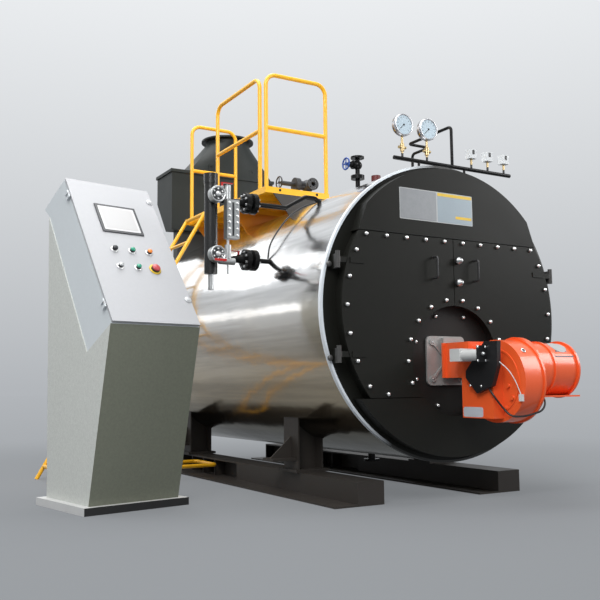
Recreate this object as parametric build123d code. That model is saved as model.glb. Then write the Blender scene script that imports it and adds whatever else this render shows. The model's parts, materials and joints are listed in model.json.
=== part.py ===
# Horizontal fire-tube steam boiler with burner, flue gas condenser, service platform and control desk.
# Millimetres. While modelling, X points right seen from the front, Y to the rear, Z up from the floor,
# and the front rim of the shell lies at Y = 0. The finished pieces are moved together at the end,
# so that the origin is on the floor below the centre of the whole set.
from build123d import *
from math import atan2, cos, degrees, radians, sin, sqrt, tan
import os

os.makedirs("parts", exist_ok=True)

# Shell
shell_radius = 1000
floor_clearance = 250
shell_length = 3600
shell_wall = 100
seat = 0.3
overrun = 20
axis_height = shell_radius + floor_clearance
crown = axis_height + shell_radius

# Front rim and smoke box
rim_depth = 30
rim_front = 10
rim_thickness = 16
rim_step = 10
front_plate_thickness = 20
front_plate_radius = shell_radius - rim_step
smoke_ring_step = 110
smoke_ring_radius = shell_radius - smoke_ring_step
smoke_ring_wall = 40
smoke_box_depth = 320
tube_sheet_thickness = 60
panel_front = 95
panel_step = 35
panel_radius = shell_radius - panel_step
panel_thickness = 25
shoulder_share = 0.69
corner_share = 0.768
panel_shoulder_x = shell_radius * shoulder_share
panel_corner_x = shell_radius * corner_share
door_top_share = 0.482
door_bottom_share = 0.57
door_top = shell_radius * door_top_share
door_bottom = -shell_radius * door_bottom_share
door_step = 95
door_radius = shell_radius - door_step
door_thickness = 20
door_gap = 5
door_hinge_step = 76
door_hinge_x = shell_radius - door_hinge_step
door_hinge_radius = 15
door_hinge_pin = 8
door_hinge_shares = (0.286, -0.300)
door_hinge_length = 106
door_hinge_arm = 14
door_hinge_plate = 90
door_frame_bar = 80
door_frame_depth = 30
burner_hole_share = 0.365
burner_drop_share = 0.333
burner_hole_radius = shell_radius * burner_hole_share
burner_drop = shell_radius * burner_drop_share
burner_height = axis_height - burner_drop

# Furnace mouth and fire tubes
mouth_share = 0.43
mouth_radius = shell_radius * mouth_share
mouth_wall = 58
burner_plate_front = 30
burner_plate_thickness = 25
mouth_ledge = 45
tube_radius = 27
tube_pitch = 92
tube_recess = 50
tube_rows = 5
tube_columns = 5
tube_bank_x = 220
tube_bank_z = 150

# Door furniture
handle_x = 178
handle_top = 347
handle_bottom = 207
handle_reach = 48
handle_radius = 7
clamp_x = 30
clamp_heights = (336, 187)
clamp_radius = 24
clamp_thickness = 16
clamp_stud_radius = 9
clamp_stud_length = 26

# Rear end
rear_plate_thickness = 20
rear_cover_step = 120
rear_cover_thickness = 60
hatch_radius = 230
hatch_thickness = 30
hatch_z = 60
hatch_bar_width = 60
hatch_bar_reach = 300
hatch_bar_thickness = 22

# Skids
skid_share = 0.5955
skid_x = shell_radius * skid_share
skid_width = 203
skid_height = 150
skid_start = 70
skid_margin = 50
skid_end = shell_length - skid_margin
skid_plate = 12
skid_web = 10
skid_foot_width = 377
skid_closed_length = 1730
skid_rib_start = 2231
skid_rib_pitch = 244
skid_rib = 10

# Legs
leg_width = 205
leg_depth = 207
leg_flange = 12
leg_web = 9
leg_front_y = 912
leg_rear_setback = 736
leg_rear_y = shell_length - leg_rear_setback
foot_plate = 20
foot_overhang = 30
jack_reach = 190
jack_plate = 18
jack_width = 150
jack_height = 250
jack_gusset = 10
jack_gusset_height = 152

# Platform
deck_left = -650
deck_right = -50
deck_setback = 670
deck_length = 1560
deck_rear = shell_length - deck_setback
deck_front = deck_rear - deck_length
deck_rise = 100
deck_top = crown + deck_rise
deck_plate = 6
deck_edge = 50
deck_rib_count = 5
bracket_plate = 10
bracket_left = -580
bracket_foot_share = 0.446
bracket_foot_x = -shell_radius * bracket_foot_share
bracket_foot_drop = 100
bracket_count = 3
rail_radius = 17
rail_height = 935
rail_mid = 490
rail_bend = 90
rail_inset = 17
side_rail_gap = 125
side_rail_length = 823
rear_rail_right = -165

# Ladder
ladder_angle = 60
ladder_setback = 450
ladder_width = 420
ladder_front = deck_rear - ladder_setback
ladder_rear = ladder_front + ladder_width
ladder_offset = 30
rung_radius = 14
rung_pitch = 295
foot_frame_height = 105
foot_frame_step = 330
foot_frame_width = 410
foot_frame_front = ladder_front - foot_frame_step
foot_frame_rear = foot_frame_front + foot_frame_width
foot_frame_gap = 30
foot_frame_radius = 16

# Flue gas condenser
condenser_x = -200
condenser_width = 1120
condenser_setback = 490
condenser_depth = 400
condenser_front = shell_length - condenser_setback
condenser_rear = condenser_front + condenser_depth
condenser_rise = 40
condenser_height = 605
condenser_bottom = crown + condenser_rise
condenser_top = condenser_bottom + condenser_height
condenser_wall = 8
condenser_seam = 12
condenser_seam_height = 30
heel_depth = 155
heel_height = 320
condenser_heel_y = condenser_front + heel_depth
condenser_heel_z = condenser_bottom + heel_height
duct_width = 960
duct_inset = 50
hood_x = -115
hood_width = 910
hood_neck_x = -67
hood_height = 367
hood_top = condenser_top + hood_height
hood_neck_radius = 222
hood_neck = 30
hood_wall = 6
flue_flange_radius = 270
flue_flange = 16
flue_bolt_circle = 246
flue_bolt_count = 12
flue_bolt_radius = 7
lug_size = 56
lug_thickness = 12
lug_hole = 14
lug_height = 90

# Water column
column_reach = 380
column_x = -shell_radius - column_reach
column_y = 800
column_rise = 275
column_length = 696
column_bottom = axis_height + column_rise
column_top = column_bottom + column_length
column_radius = 45
column_cap = 70
column_cap_radius = 49
column_nozzle_radius = 18
column_drain = 110
lower_pipe_rise = 115
upper_pipe_rise = 518
lower_pipe_z = column_bottom + lower_pipe_rise
upper_pipe_z = column_bottom + upper_pipe_rise
column_pipe_radius = 17
pipe_rise_share = 0.79
pipe_crest_share = 0.625
pipe_fall_share = 0.54
pipe_end_share = 0.40
pipe_low_share = 0.80
pipe_crest_drop = 110
pipe_crest_z = crown - pipe_crest_drop
pipe_bend = 45
cone_start = 167
cone_end = 251
cone_low_radius = 22
cone_high_radius = 31
joint_length = 90
joint_flange_radius = 74
joint_flange = 33
joint_neck_radius = 36
cock_radius = 57
cock_depth = 46
cock_front = 680
upper_cock_rise = 533
lower_cock_rise = 123
upper_cock_z = column_bottom + upper_cock_rise
lower_cock_z = column_bottom + lower_cock_rise
cock_boss_offset = 76
cock_boss_x = column_x + cock_boss_offset
cock_boss_radius = 22
cock_boss_low = 30
cock_boss_high = 65
cock_arm_radius = 14
cock_post_offset = 40
cock_post_x = column_x + cock_post_offset
cock_post_radius = 12
cock_post_top = 62
cock_tee_drop = 46
cock_tee_radius = 24
cock_tee_left = 64
cock_tee_right = 48
cock_drain_radius = 7
cock_drain_length = 85
cock_lever_offset = 25
gauge_offset = 105
gauge_x = column_x + gauge_offset
gauge_width = 92
gauge_depth = 56
gauge_rise = 232
gauge_length = 266
gauge_bottom = column_bottom + gauge_rise
gauge_top = gauge_bottom + gauge_length
gauge_y = 690
gauge_slot_width = 16
gauge_slot_depth = 8
gauge_rod_radius = 9
lever_length = 86
lever_width = 16
lever_thickness = 6
lever_stem = 8
lever_stem_height = 20
valve_lever_offset = 210
valve_lever_x = column_x + valve_lever_offset
valve_lever_post = 32

# Pressure manifold
manifold_y = 60
manifold_rise = 42
manifold_z = crown + manifold_rise
manifold_left = -363
manifold_right = 702
manifold_radius = 14
manifold_post_x = (-150, 260)
manifold_post_radius = 9
dial_x = (-291, -77)
dial_rise = 273
dial_z = crown + dial_rise
dial_radius = 66
dial_depth = 48
dial_rim = 6
dial_recess = 5
dial_stem_radius = 8
stem_body_radius = 15
stem_body_height = 52
stem_body_rise = 120
stem_body_z = crown + stem_body_rise
switch_x = (330, 486, 645)
switch_width = 62
switch_depth = 50
switch_height = 66
switch_rise = 155
switch_z = crown + switch_rise
switch_stem_radius = 8
feed_pipe_radius = 11
feed_pipe_x = 150
feed_pipe_rise = 335
feed_pipe_z = crown + feed_pipe_rise
feed_pipe_back = 546
feed_pipe_turn_x = 345
feed_pipe_drop_y = 750
feed_pipe_bend = 30

# Vent valve
vent_x = -290
vent_y = 600
vent_pipe_radius = 17
vent_low_rise = 20
vent_body_rise = 125
vent_top_rise = 176
vent_low_flange = crown + vent_low_rise
vent_body_z = crown + vent_body_rise
vent_top_flange = crown + vent_top_rise
vent_flange_radius = 50
vent_flange = 14
vent_body_radius = 34
vent_bore = 12
vent_bolt_circle = 75
vent_bolt_radius = 6
bonnet_radius = 20
bonnet_flange_radius = 32
bonnet_flange = 12
bonnet_length = 80
wheel_gap = 22
wheel_radius = 42
wheel_wire = 6
wheel_hub = 12
wheel_spokes = 4
wheel_stem = 6
wheel_stem_grip = 30

# Main steam valve
steam_x = 60
steam_y = 1900
steam_rise = 295
steam_z = crown + steam_rise
steam_pipe_radius = 24
steam_flange_radius = 55
steam_flange = 16
steam_body_radius = 58
steam_reach = 100
steam_bore = 20
steam_bolt_circle = 82
steam_bolt_radius = 7
steam_wheel_radius = 52
steam_bonnet_length = 270
steam_bonnet_flange_radius = 62
steam_bonnet_flange = 44
steam_bonnet_neck = 95
steam_bonnet_radius = 40

# Crown cap and blowdown
cap_x = -197
cap_y = 500
cap_radius = 34
cap_rise = 34
cap_top = crown + cap_rise
blowdown_radius = 27
blowdown_flange_radius = 60
blowdown_flange = 16
blowdown_front_y = 900
blowdown_rear_setback = 1400
blowdown_rear_y = shell_length - blowdown_rear_setback
blowdown_drop = 60

# Burner: heights are counted from the burner's own centre
burner_flange_x = -45
burner_flange_size = 325
burner_flange_corner = 34
burner_flange_thickness = 14
burner_hub_left = -85
burner_hub_right = 85
burner_hub_low = -85
burner_hub_high = 150
burner_hub_reach = 24
burner_rib = 14
burner_rib_reach = 10
corner_boss_radius = 20
corner_boss_inset = 42
neck_half_width = 78
neck_low = -115
neck_high = 115
neck_front = -300
neck_plate_half = 104
neck_plate = 14
block_left = -80
block_right = 60
block_rear = -232
block_front = -515
block_top = 33
block_bottom = -370
drum_y = -450
drum_drop = 140
drum_radius = 258
drum_width = 165
drum_lip = 14
drum_lip_height = 10
drum_ring_radius = 205
drum_ring_width = 12
drum_ring_height = 5
drum_boss_radius = 13
drum_boss_height = 16
drum_bosses = ((-567, -171), (-600, -244), (-540, -306))
intake_drop = 67
intake_radius = 172
intake_flange_radius = 205
intake_flange = 40
intake_length = 400
intake_wall = 8
intake_rim = 14
intake_rib = 16
intake_rib_height = 9
intake_rib_share = 0.45
intake_depth = 330
intake_foot = 10
intake_foot_width = 340
intake_foot_drop = 4
cover_thickness = 30
cover_outline = ((-479, 107), (-592, 103), (-585, -50), (-536, -170), (-401, -216), (-302, -118), (-305, -74))
servo_left = -198
servo_front = -350
servo_rear = -257
servo_high = 66
servo_low = -14
servo_drum_radius = 35
servo_drum_end = -495
servo_drum_x = -160
servo_drum_rise = 22
plug_y = -676
plug_length = 26
plug_width = 18
plug_height = 42
plug_rise = -242
lead_radius = 6
lead_points = (
    (-95, -490, -180), (-95, -537, -235), (-36, -548, -307), (-20, -600, -357),
    (60, -645, -354), (150, -694, -322), (188, -684, -264), (188, -604, -186),
)
tube_radius_small = 3
tube_points = ((-95, -578, -16), (-58, -626, -72), (-34, -655, -135), (-9, -676, -228))
lead_share = 0.45
shell_lead_y = 842
shell_lead_shares = (
    (-0.9154, 0.4175), (-0.903, 0.513), (-0.846, 0.612), (-0.746, 0.739), (-0.626, 0.825), (-0.506, 0.8703),
)

# Control desk
desk_x = -2220
desk_y = 710
desk_angle = 10
desk_width = 629
desk_skin = 12
desk_plinth_height = 48
desk_plinth_out = 50
desk_foot_depth = 610
desk_nose_reach = 250
desk_nose_z = 1140
desk_seam_depth = 60
desk_seam_z = 980
desk_shoulder_depth = 670
desk_shoulder_z = 1930
desk_crown_depth = 760
desk_crown_z = 2000
desk_brow_depth = 450
desk_brow_z = 2150
desk_head_inset = 6
desk_head_room = 160
desk_door_margin = 40
desk_door_edge = 4
desk_door_thickness = 16
desk_hinge_radius = 6
desk_hinge_pin = 3
desk_hinge_length = 60
desk_hinge_shares = (0.12, 0.88)
desk_lock_radius = 15
desk_lock_height = 8
desk_lock_inset = 26
desk_lock_shares = (0.17, 0.90)
desk_screen_x = 150
desk_screen_y = 755
desk_screen_width = 300
desk_screen_height = 255
desk_screen_thickness = 8
desk_button_columns = 3
desk_button_rows = 2
desk_button_x = 186
desk_button_y = 601
desk_button_pitch = 126
desk_button_drop = 146
desk_button_radius = 18
desk_stop_radius = 30
desk_button_height = 20


def cylinder_y(radius, front, rear, x=0, z=axis_height):
    """Round bar along Y between two stations."""
    return Pos(x, (front + rear) / 2, z) * Rot(90, 0, 0) * Cylinder(radius, rear - front)


def cylinder_x(radius, left, right, y=0, z=0):
    """Round bar along X between two stations."""
    return Pos((left + right) / 2, y, z) * Rot(0, 90, 0) * Cylinder(radius, right - left)


def cylinder_z(radius, bottom, top, x=0, y=0):
    """Round bar along Z between two levels."""
    return Pos(x, y, (bottom + top) / 2) * Cylinder(radius, top - bottom)


def cylinder_along(radius, start, end, x, z):
    """Round bar along Y between two stations, at x across and at level z."""
    return Pos(x, (start + end) / 2, z) * Rot(90, 0, 0) * Cylinder(radius, end - start)


def block(x0, x1, y0, y1, z0, z1):
    """Box between two corners."""
    return Pos((x0 + x1) / 2, (y0 + y1) / 2, (z0 + z1) / 2) * Box(x1 - x0, y1 - y0, z1 - z0)


def front_slab(outline, front, rear, z=axis_height):
    """Plate parallel to the front, from an outline drawn about the shell's axis."""
    return Pos(0, rear, z) * extrude(Plane.XZ * outline, amount=rear - front)


def bent_tube(points, bend, radius):
    """Round tube along straight runs joined by arcs."""
    path = FilletPolyline(*points, radius=bend) if bend else Polyline(*points)
    return sweep(Plane(origin=path @ 0, z_dir=path % 0) * Circle(radius), path=path)


def lead(points, radius):
    """Cable of straight runs joined by arcs, each as wide as its two runs allow."""
    bends = []
    for index in range(1, len(points) - 1):
        before = Vector(*points[index]) - Vector(*points[index - 1])
        after = Vector(*points[index + 1]) - Vector(*points[index])
        half_turn = radians(before.get_angle(after)) / 2
        bends.append(lead_share * min(before.length, after.length) / tan(half_turn))
    path = FilletPolyline(*points, radius=bends)
    cable = sweep(Plane(origin=path @ 0, z_dir=path % 0) * Circle(radius), path=path)
    full = radius * radius * radians(180) * path.length
    print("cable radii", [round(bend) for bend in bends], "volume share", round(cable.volume / full, 3))
    return cable


def outside_shell(piece):
    """What stands off the shell of a piece that runs into it: the part that lies highest."""
    left = piece - shell_solid(seat)
    return max(left.solids(), key=lambda part: part.bounding_box().max.Z)


def ring_of(count, radius, start=0):
    """Places evenly spaced round a circle, in degrees from the first."""
    for index in range(count):
        angle = radians(start + 360 / count * index)
        yield radius * cos(angle), radius * sin(angle)


def shell_solid(clearance=0):
    """The space that the shell's outside fills, a little larger if asked."""
    return cylinder_y(shell_radius + clearance, front_plate_thickness, shell_length)


nodes = {}


def build_shell():
    inside = shell_radius - shell_wall
    rear = shell_length - rear_plate_thickness
    tube = cylinder_y(shell_radius, front_plate_thickness, rear)
    nodes["shell_cladding"] = tube - cylinder_y(inside, front_plate_thickness - overrun, rear + overrun)

    rim_outer = front_plate_radius + rim_thickness
    rim = cylinder_y(rim_outer, -rim_front, rim_depth - rim_front)
    nodes["front_trim_ring"] = rim - cylinder_y(front_plate_radius, -rim_front - overrun, rim_depth)

    plate = cylinder_y(front_plate_radius, 0, front_plate_thickness)
    plate = plate - cylinder_y(smoke_ring_radius, -overrun, front_plate_thickness + overrun)
    nodes["front_plate"] = plate


def build_smoke_box():
    inner = smoke_ring_radius - smoke_ring_wall
    front = -panel_front + panel_thickness
    rear = smoke_box_depth
    ring = cylinder_y(smoke_ring_radius, front, rear) - cylinder_y(inner, front - overrun, rear + overrun)
    half = door_frame_bar / 2
    bar_rear = front + door_frame_depth
    frame = None
    for level in (door_top, door_bottom):
        bar = block(-inner, inner, front, bar_rear, axis_height + level - half, axis_height + level + half)
        frame = bar if frame is None else frame + bar
    post_low = burner_height + mouth_radius - mouth_wall / 2
    frame = frame + block(-half, half, front, bar_rear, post_low, axis_height + door_top)
    frame = frame & cylinder_y(inner + seat, front, bar_rear)
    mouth = cylinder_y(mouth_radius, front, rear, z=burner_height)
    nodes["smoke_box"] = ring + (frame - mouth)

    hollow = mouth_radius - mouth_wall
    throat = hollow - mouth_ledge
    centre = burner_height
    plate_rear = -burner_plate_front + burner_plate_thickness
    mouth = mouth - cylinder_y(hollow, front - overrun, plate_rear, z=centre)
    nodes["furnace_mouth"] = mouth - cylinder_y(throat, plate_rear - overrun, rear + overrun, z=centre)
    nodes["burner_plate"] = cylinder_y(hollow, -burner_plate_front, plate_rear, z=centre)

    sheet_radius = shell_radius - shell_wall
    sheet = cylinder_y(sheet_radius, rear, rear + tube_sheet_thickness)
    holes = []
    for side in (-1, 1):
        for row in range(tube_rows):
            for column in range(tube_columns):
                x = side * (tube_bank_x + tube_pitch * (column - (row % 2) / 2))
                z = tube_bank_z + tube_pitch * row * sqrt(3) / 2
                level = axis_height + z
                if sqrt(x * x + z * z) < inner - tube_pitch:
                    holes.append(cylinder_y(tube_radius, rear - overrun, rear + tube_recess, x, level))
    nodes["tube_sheet"] = sheet - holes


def panel_outline(upper):
    """Filled part of the front above or below the doors, seen from the front."""
    disc = Circle(panel_radius)
    if upper:
        level = door_top + door_gap
        sides = Polyline(
            (-panel_corner_x, level),
            (-panel_shoulder_x, panel_shoulder_x),
            (-panel_shoulder_x, panel_radius),
            (panel_shoulder_x, panel_radius),
            (panel_shoulder_x, panel_shoulder_x),
            (panel_corner_x, level),
            close=True,
        )
        return disc & make_face(sides)
    level = door_bottom - door_gap
    low = Pos(0, (level - panel_radius) / 2) * Rectangle(panel_radius * 2, panel_radius + level)
    return disc & low - Pos(0, -burner_drop) * Circle(burner_hole_radius)


def build_front_panels():
    back = -panel_front + panel_thickness
    for name, upper in (("upper_front_panel", True), ("lower_front_panel", False)):
        outline = panel_outline(upper)
        deep = front_slab(outline, -panel_front, 0)
        nodes[name] = deep - cylinder_y(smoke_ring_radius, back, overrun)


def door_outline(side):
    """One leaf: a disc cut to its height, at the centre line and round the burner."""
    width = door_radius - door_gap / 2
    height = door_top - door_bottom
    x = side * (door_gap + width) / 2
    leaf = Circle(door_radius) & Pos(x, (door_top + door_bottom) / 2) * Rectangle(width, height)
    return leaf - Pos(0, -burner_drop) * Circle(burner_hole_radius)


def build_doors():
    back = -panel_front + door_thickness
    middle = -panel_front + door_thickness / 2
    for side, hand in ((-1, "left"), (1, "right")):
        leaf = front_slab(door_outline(side), -panel_front, back)
        hinge_x = side * door_hinge_x
        mounts = None
        for share in door_hinge_shares:
            height = shell_radius * share
            level = axis_height + height
            third = door_hinge_length / 3
            reach = side * (sqrt(door_radius**2 - (abs(height) + third / 2) ** 2) - door_hinge_arm * 2)
            arm = block(
                min(hinge_x, reach), max(hinge_x, reach),
                middle - door_hinge_arm / 2, middle + door_hinge_arm / 2,
                level - third / 2, level + third / 2,
            )
            barrel = cylinder_z(door_hinge_radius, level - third / 2, level + third / 2, hinge_x, middle)
            hole = cylinder_z(door_hinge_pin + seat, level - third, level + third, hinge_x, middle)
            tip = reach - side * door_hinge_plate
            pad = block(
                min(tip, reach + side * door_hinge_arm), max(tip, reach + side * door_hinge_arm),
                -panel_front - door_gap, -panel_front, level - third / 2, level + third / 2,
            )
            leaf = leaf + (arm + barrel - hole) + pad
            bottom = level - third * 3 / 2
            top = level + third * 3 / 2
            fixed = cylinder_z(door_hinge_radius, bottom, level - third / 2 - seat, hinge_x, middle)
            fixed = fixed + cylinder_z(door_hinge_radius, level + third / 2 + seat, top, hinge_x, middle)
            pin = cylinder_z(door_hinge_pin, bottom, top, hinge_x, middle)
            knuckle_rear = middle + door_hinge_radius
            inward = hinge_x - side * door_hinge_arm
            strap = block(min(hinge_x, inward), max(hinge_x, inward), middle, 0, bottom, top - door_hinge_arm)
            strap = strap - block(
                hinge_x - door_hinge_radius * 2, hinge_x + door_hinge_radius * 2,
                middle - door_hinge_radius, knuckle_rear + door_gap,
                level - third / 2 - seat, level + third / 2 + seat,
            )
            piece = fixed + pin + strap
            mounts = piece if mounts is None else mounts + piece
        nodes[hand + "_door"] = leaf
        nodes["front_plate"] += mounts

        x = side * handle_x
        front = -panel_front
        points = [
            (x, front, axis_height + handle_bottom),
            (x, front - handle_reach, axis_height + handle_bottom),
            (x, front - handle_reach, axis_height + handle_top),
            (x, front, axis_height + handle_top),
        ]
        nodes[hand + "_door_handle"] = bent_tube(points, handle_radius * 2, handle_radius)

    fittings = [nodes["right_door_handle"]]
    for height in clamp_heights:
        level = axis_height + height
        front = -panel_front - clamp_thickness
        washer = cylinder_y(clamp_radius, front, -panel_front, clamp_x, level)
        stud = cylinder_y(clamp_stud_radius, front - clamp_stud_length, front, clamp_x, level)
        fittings.append(washer + stud)
    nodes["right_door_handle"] = Compound(children=fittings)


def build_rear():
    rear = shell_length - rear_plate_thickness
    end = cylinder_y(front_plate_radius, rear, shell_length)
    end += cylinder_y(shell_radius - rear_cover_step, shell_length, shell_length + rear_cover_thickness)
    face = shell_length + rear_cover_thickness
    level = axis_height + hatch_z
    outer = face + hatch_thickness
    end += cylinder_y(hatch_radius, face, outer, 0, level)
    half = hatch_bar_width / 2
    bar_rear = outer + hatch_bar_thickness
    end += block(-hatch_bar_reach, hatch_bar_reach, outer, bar_rear, level - half, level + half)
    for x in (-hatch_bar_reach, hatch_bar_reach - hatch_bar_width):
        end += block(x, x + hatch_bar_width, face, bar_rear, level - half, level + half)
    nodes["rear_end"] = end


def build_skids():
    for name, x in (("left_skid", -skid_x), ("right_skid", skid_x)):
        left = x - skid_width / 2
        right = x + skid_width / 2
        end = skid_end
        beam = block(right - skid_foot_width, right, skid_start, end, 0, skid_plate)
        beam += block(left, right, skid_start, end, skid_height - skid_plate, skid_height)
        low = skid_plate
        high = skid_height - skid_plate
        beam += block(x - skid_web / 2, x + skid_web / 2, skid_start, end, low, high)
        closed = skid_start + skid_closed_length
        for edge in (left, right - skid_web):
            beam += block(edge, edge + skid_web, skid_start, closed, low, high)
        for station in (skid_start, closed, end - skid_web):
            beam += block(left, right, station, station + skid_web, low, high)
        station = skid_rib_start
        while station < end - skid_rib_pitch / 2:
            beam += block(left, right, station, station + skid_rib, low, high)
            station += skid_rib_pitch
        nodes[name] = beam


def build_legs():
    for place, y in (("front", leg_front_y), ("rear", leg_rear_y)):
        pair = []
        for side in (-1, 1):
            x = side * skid_x
            low = skid_height + foot_plate
            high = axis_height
            left = x - leg_depth / 2
            right = x + leg_depth / 2
            y0 = y - leg_width / 2
            y1 = y + leg_width / 2
            leg = block(left, left + leg_flange, y0, y1, low, high)
            leg += block(right - leg_flange, right, y0, y1, low, high)
            leg += block(left, right, y - leg_web / 2, y + leg_web / 2, low, high)
            outer = x + side * leg_depth / 2
            tip = outer + side * jack_reach
            plate = block(
                min(outer, tip), max(outer, tip), y - jack_width / 2, y + jack_width / 2,
                jack_height - jack_plate, jack_height,
            )
            gusset = make_face(Polyline(
                (outer, jack_height), (tip - side * jack_plate, jack_height),
                (outer, jack_height + jack_gusset_height), close=True,
            ))
            leg += plate
            leg += Pos(0, y + jack_gusset / 2, 0) * extrude(Plane.XZ * gusset, amount=jack_gusset)
            foot = block(
                left - foot_overhang, right + foot_overhang, y0 - foot_overhang, y1 + foot_overhang,
                skid_height, low,
            )
            pair.append(leg - cylinder_y(shell_radius + seat, y0 - overrun, y1 + overrun) + foot)
        nodes[place + "_legs"] = pair[0] + pair[1]


def build_platform():
    under = deck_top - deck_plate
    deck = block(deck_left, deck_right, deck_front, deck_rear, under, deck_top)
    low = deck_top - deck_edge
    deck += block(deck_left, deck_right, deck_front, deck_front + deck_plate, low, under)
    deck += block(deck_left, deck_right, deck_rear - deck_plate, deck_rear, low, under)
    deck += block(deck_left, deck_left + deck_plate, deck_front, deck_rear, low, under)
    deck += block(deck_right - deck_plate, deck_right, deck_front, deck_rear, low, under)
    span = (deck_rear - deck_front) / (deck_rib_count + 1)
    for index in range(deck_rib_count):
        y = deck_front + span * (index + 1)
        deck += block(deck_left, deck_right, y - deck_plate / 2, y + deck_plate / 2, low, under)
    nodes["platform_deck"] = deck

    room = (deck_rear - deck_front - bracket_plate) / (bracket_count - 1)
    brackets = []
    for index in range(bracket_count):
        outline = make_face(Polyline(
            (bracket_left, low), (bracket_foot_x, crown - bracket_foot_drop), (bracket_foot_x, axis_height),
            (deck_right, axis_height), (deck_right, low), close=True,
        ))
        y = deck_front + room * index
        plate = Pos(0, y + bracket_plate, 0) * extrude(Plane.XZ * outline, amount=bracket_plate)
        cut = cylinder_y(shell_radius + seat, y - overrun, y + bracket_plate + overrun)
        brackets.append(plate - cut)
    nodes["platform_brackets"] = Compound(children=brackets)


def rail(first, second, top, middle):
    """Bent tube rail with a straight middle bar between its two posts."""
    x0, y0 = first
    x1, y1 = second
    corners = [(x0, y0, deck_top), (x0, y0, top), (x1, y1, top), (x1, y1, deck_top)]
    hoop = bent_tube(corners, rail_bend, rail_radius)
    bar = bent_tube([(x0, y0, middle), (x1, y1, middle)], 0, rail_radius)
    return hoop + bar


def build_rails():
    top = deck_top + rail_height
    middle = deck_top + rail_mid
    left = deck_left + rail_inset
    front = deck_front + rail_inset
    rear = deck_rear - rail_inset
    nodes["front_rail"] = rail((left, front), (deck_right - rail_inset, front), top, middle)
    start = deck_front + side_rail_gap
    nodes["side_rail"] = rail((left, start), (left, start + side_rail_length), top, middle)
    nodes["rear_rail"] = rail((left, rear), (rear_rail_right, rear), top, middle)


def build_ladder():
    top_x = deck_left - ladder_offset
    run = deck_top / tan(radians(ladder_angle))
    foot_x = top_x - run
    stringers = None
    for y in (ladder_front, ladder_rear):
        bar = bent_tube([(foot_x, y, 0), (top_x, y, deck_top)], 0, rail_radius)
        stringers = bar if stringers is None else stringers + bar
    stringers -= block(foot_x - shell_radius, deck_left, deck_front, shell_length, -shell_wall, 0)
    stringers -= block(foot_x, deck_right, deck_front, shell_length, deck_top, deck_top + shell_wall)
    tie_z = deck_top - rail_radius
    tie_x = top_x - rail_radius / tan(radians(ladder_angle))
    stringers += bent_tube([(tie_x, ladder_front, tie_z), (tie_x, ladder_rear, tie_z)], 0, rail_radius)
    half = rail_radius / 2
    for y in (ladder_front, ladder_rear):
        stringers += block(tie_x, deck_left, y - half, y + half, deck_top - deck_edge, deck_top)

    rungs = []
    level = deck_top - rung_pitch
    while level > rung_pitch / 2:
        x = foot_x + level / tan(radians(ladder_angle))
        rungs.append(bent_tube([(x, ladder_front, level), (x, ladder_rear, level)], 0, rung_radius))
        level -= rung_pitch
    stringers += rungs

    end_x = -skid_x - skid_width / 2 - foot_frame_gap
    start_x = foot_x + foot_frame_height / tan(radians(ladder_angle))
    frame = bent_tube([
        (start_x, foot_frame_front, foot_frame_height), (end_x, foot_frame_front, foot_frame_height),
        (end_x, foot_frame_rear, foot_frame_height), (start_x, foot_frame_rear, foot_frame_height),
    ], foot_frame_radius * 2, foot_frame_radius)
    frame += cylinder_along(
        foot_frame_radius, foot_frame_front - foot_frame_radius, ladder_rear, start_x, foot_frame_height,
    )
    lug_y = (foot_frame_front + foot_frame_rear) / 2
    frame += block(end_x, end_x + foot_frame_gap, lug_y - foot_frame_radius, lug_y + foot_frame_radius,
                   foot_frame_height - foot_frame_radius / 2, foot_frame_height + foot_frame_radius / 2)
    nodes["ladder"] = stringers + frame


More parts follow.
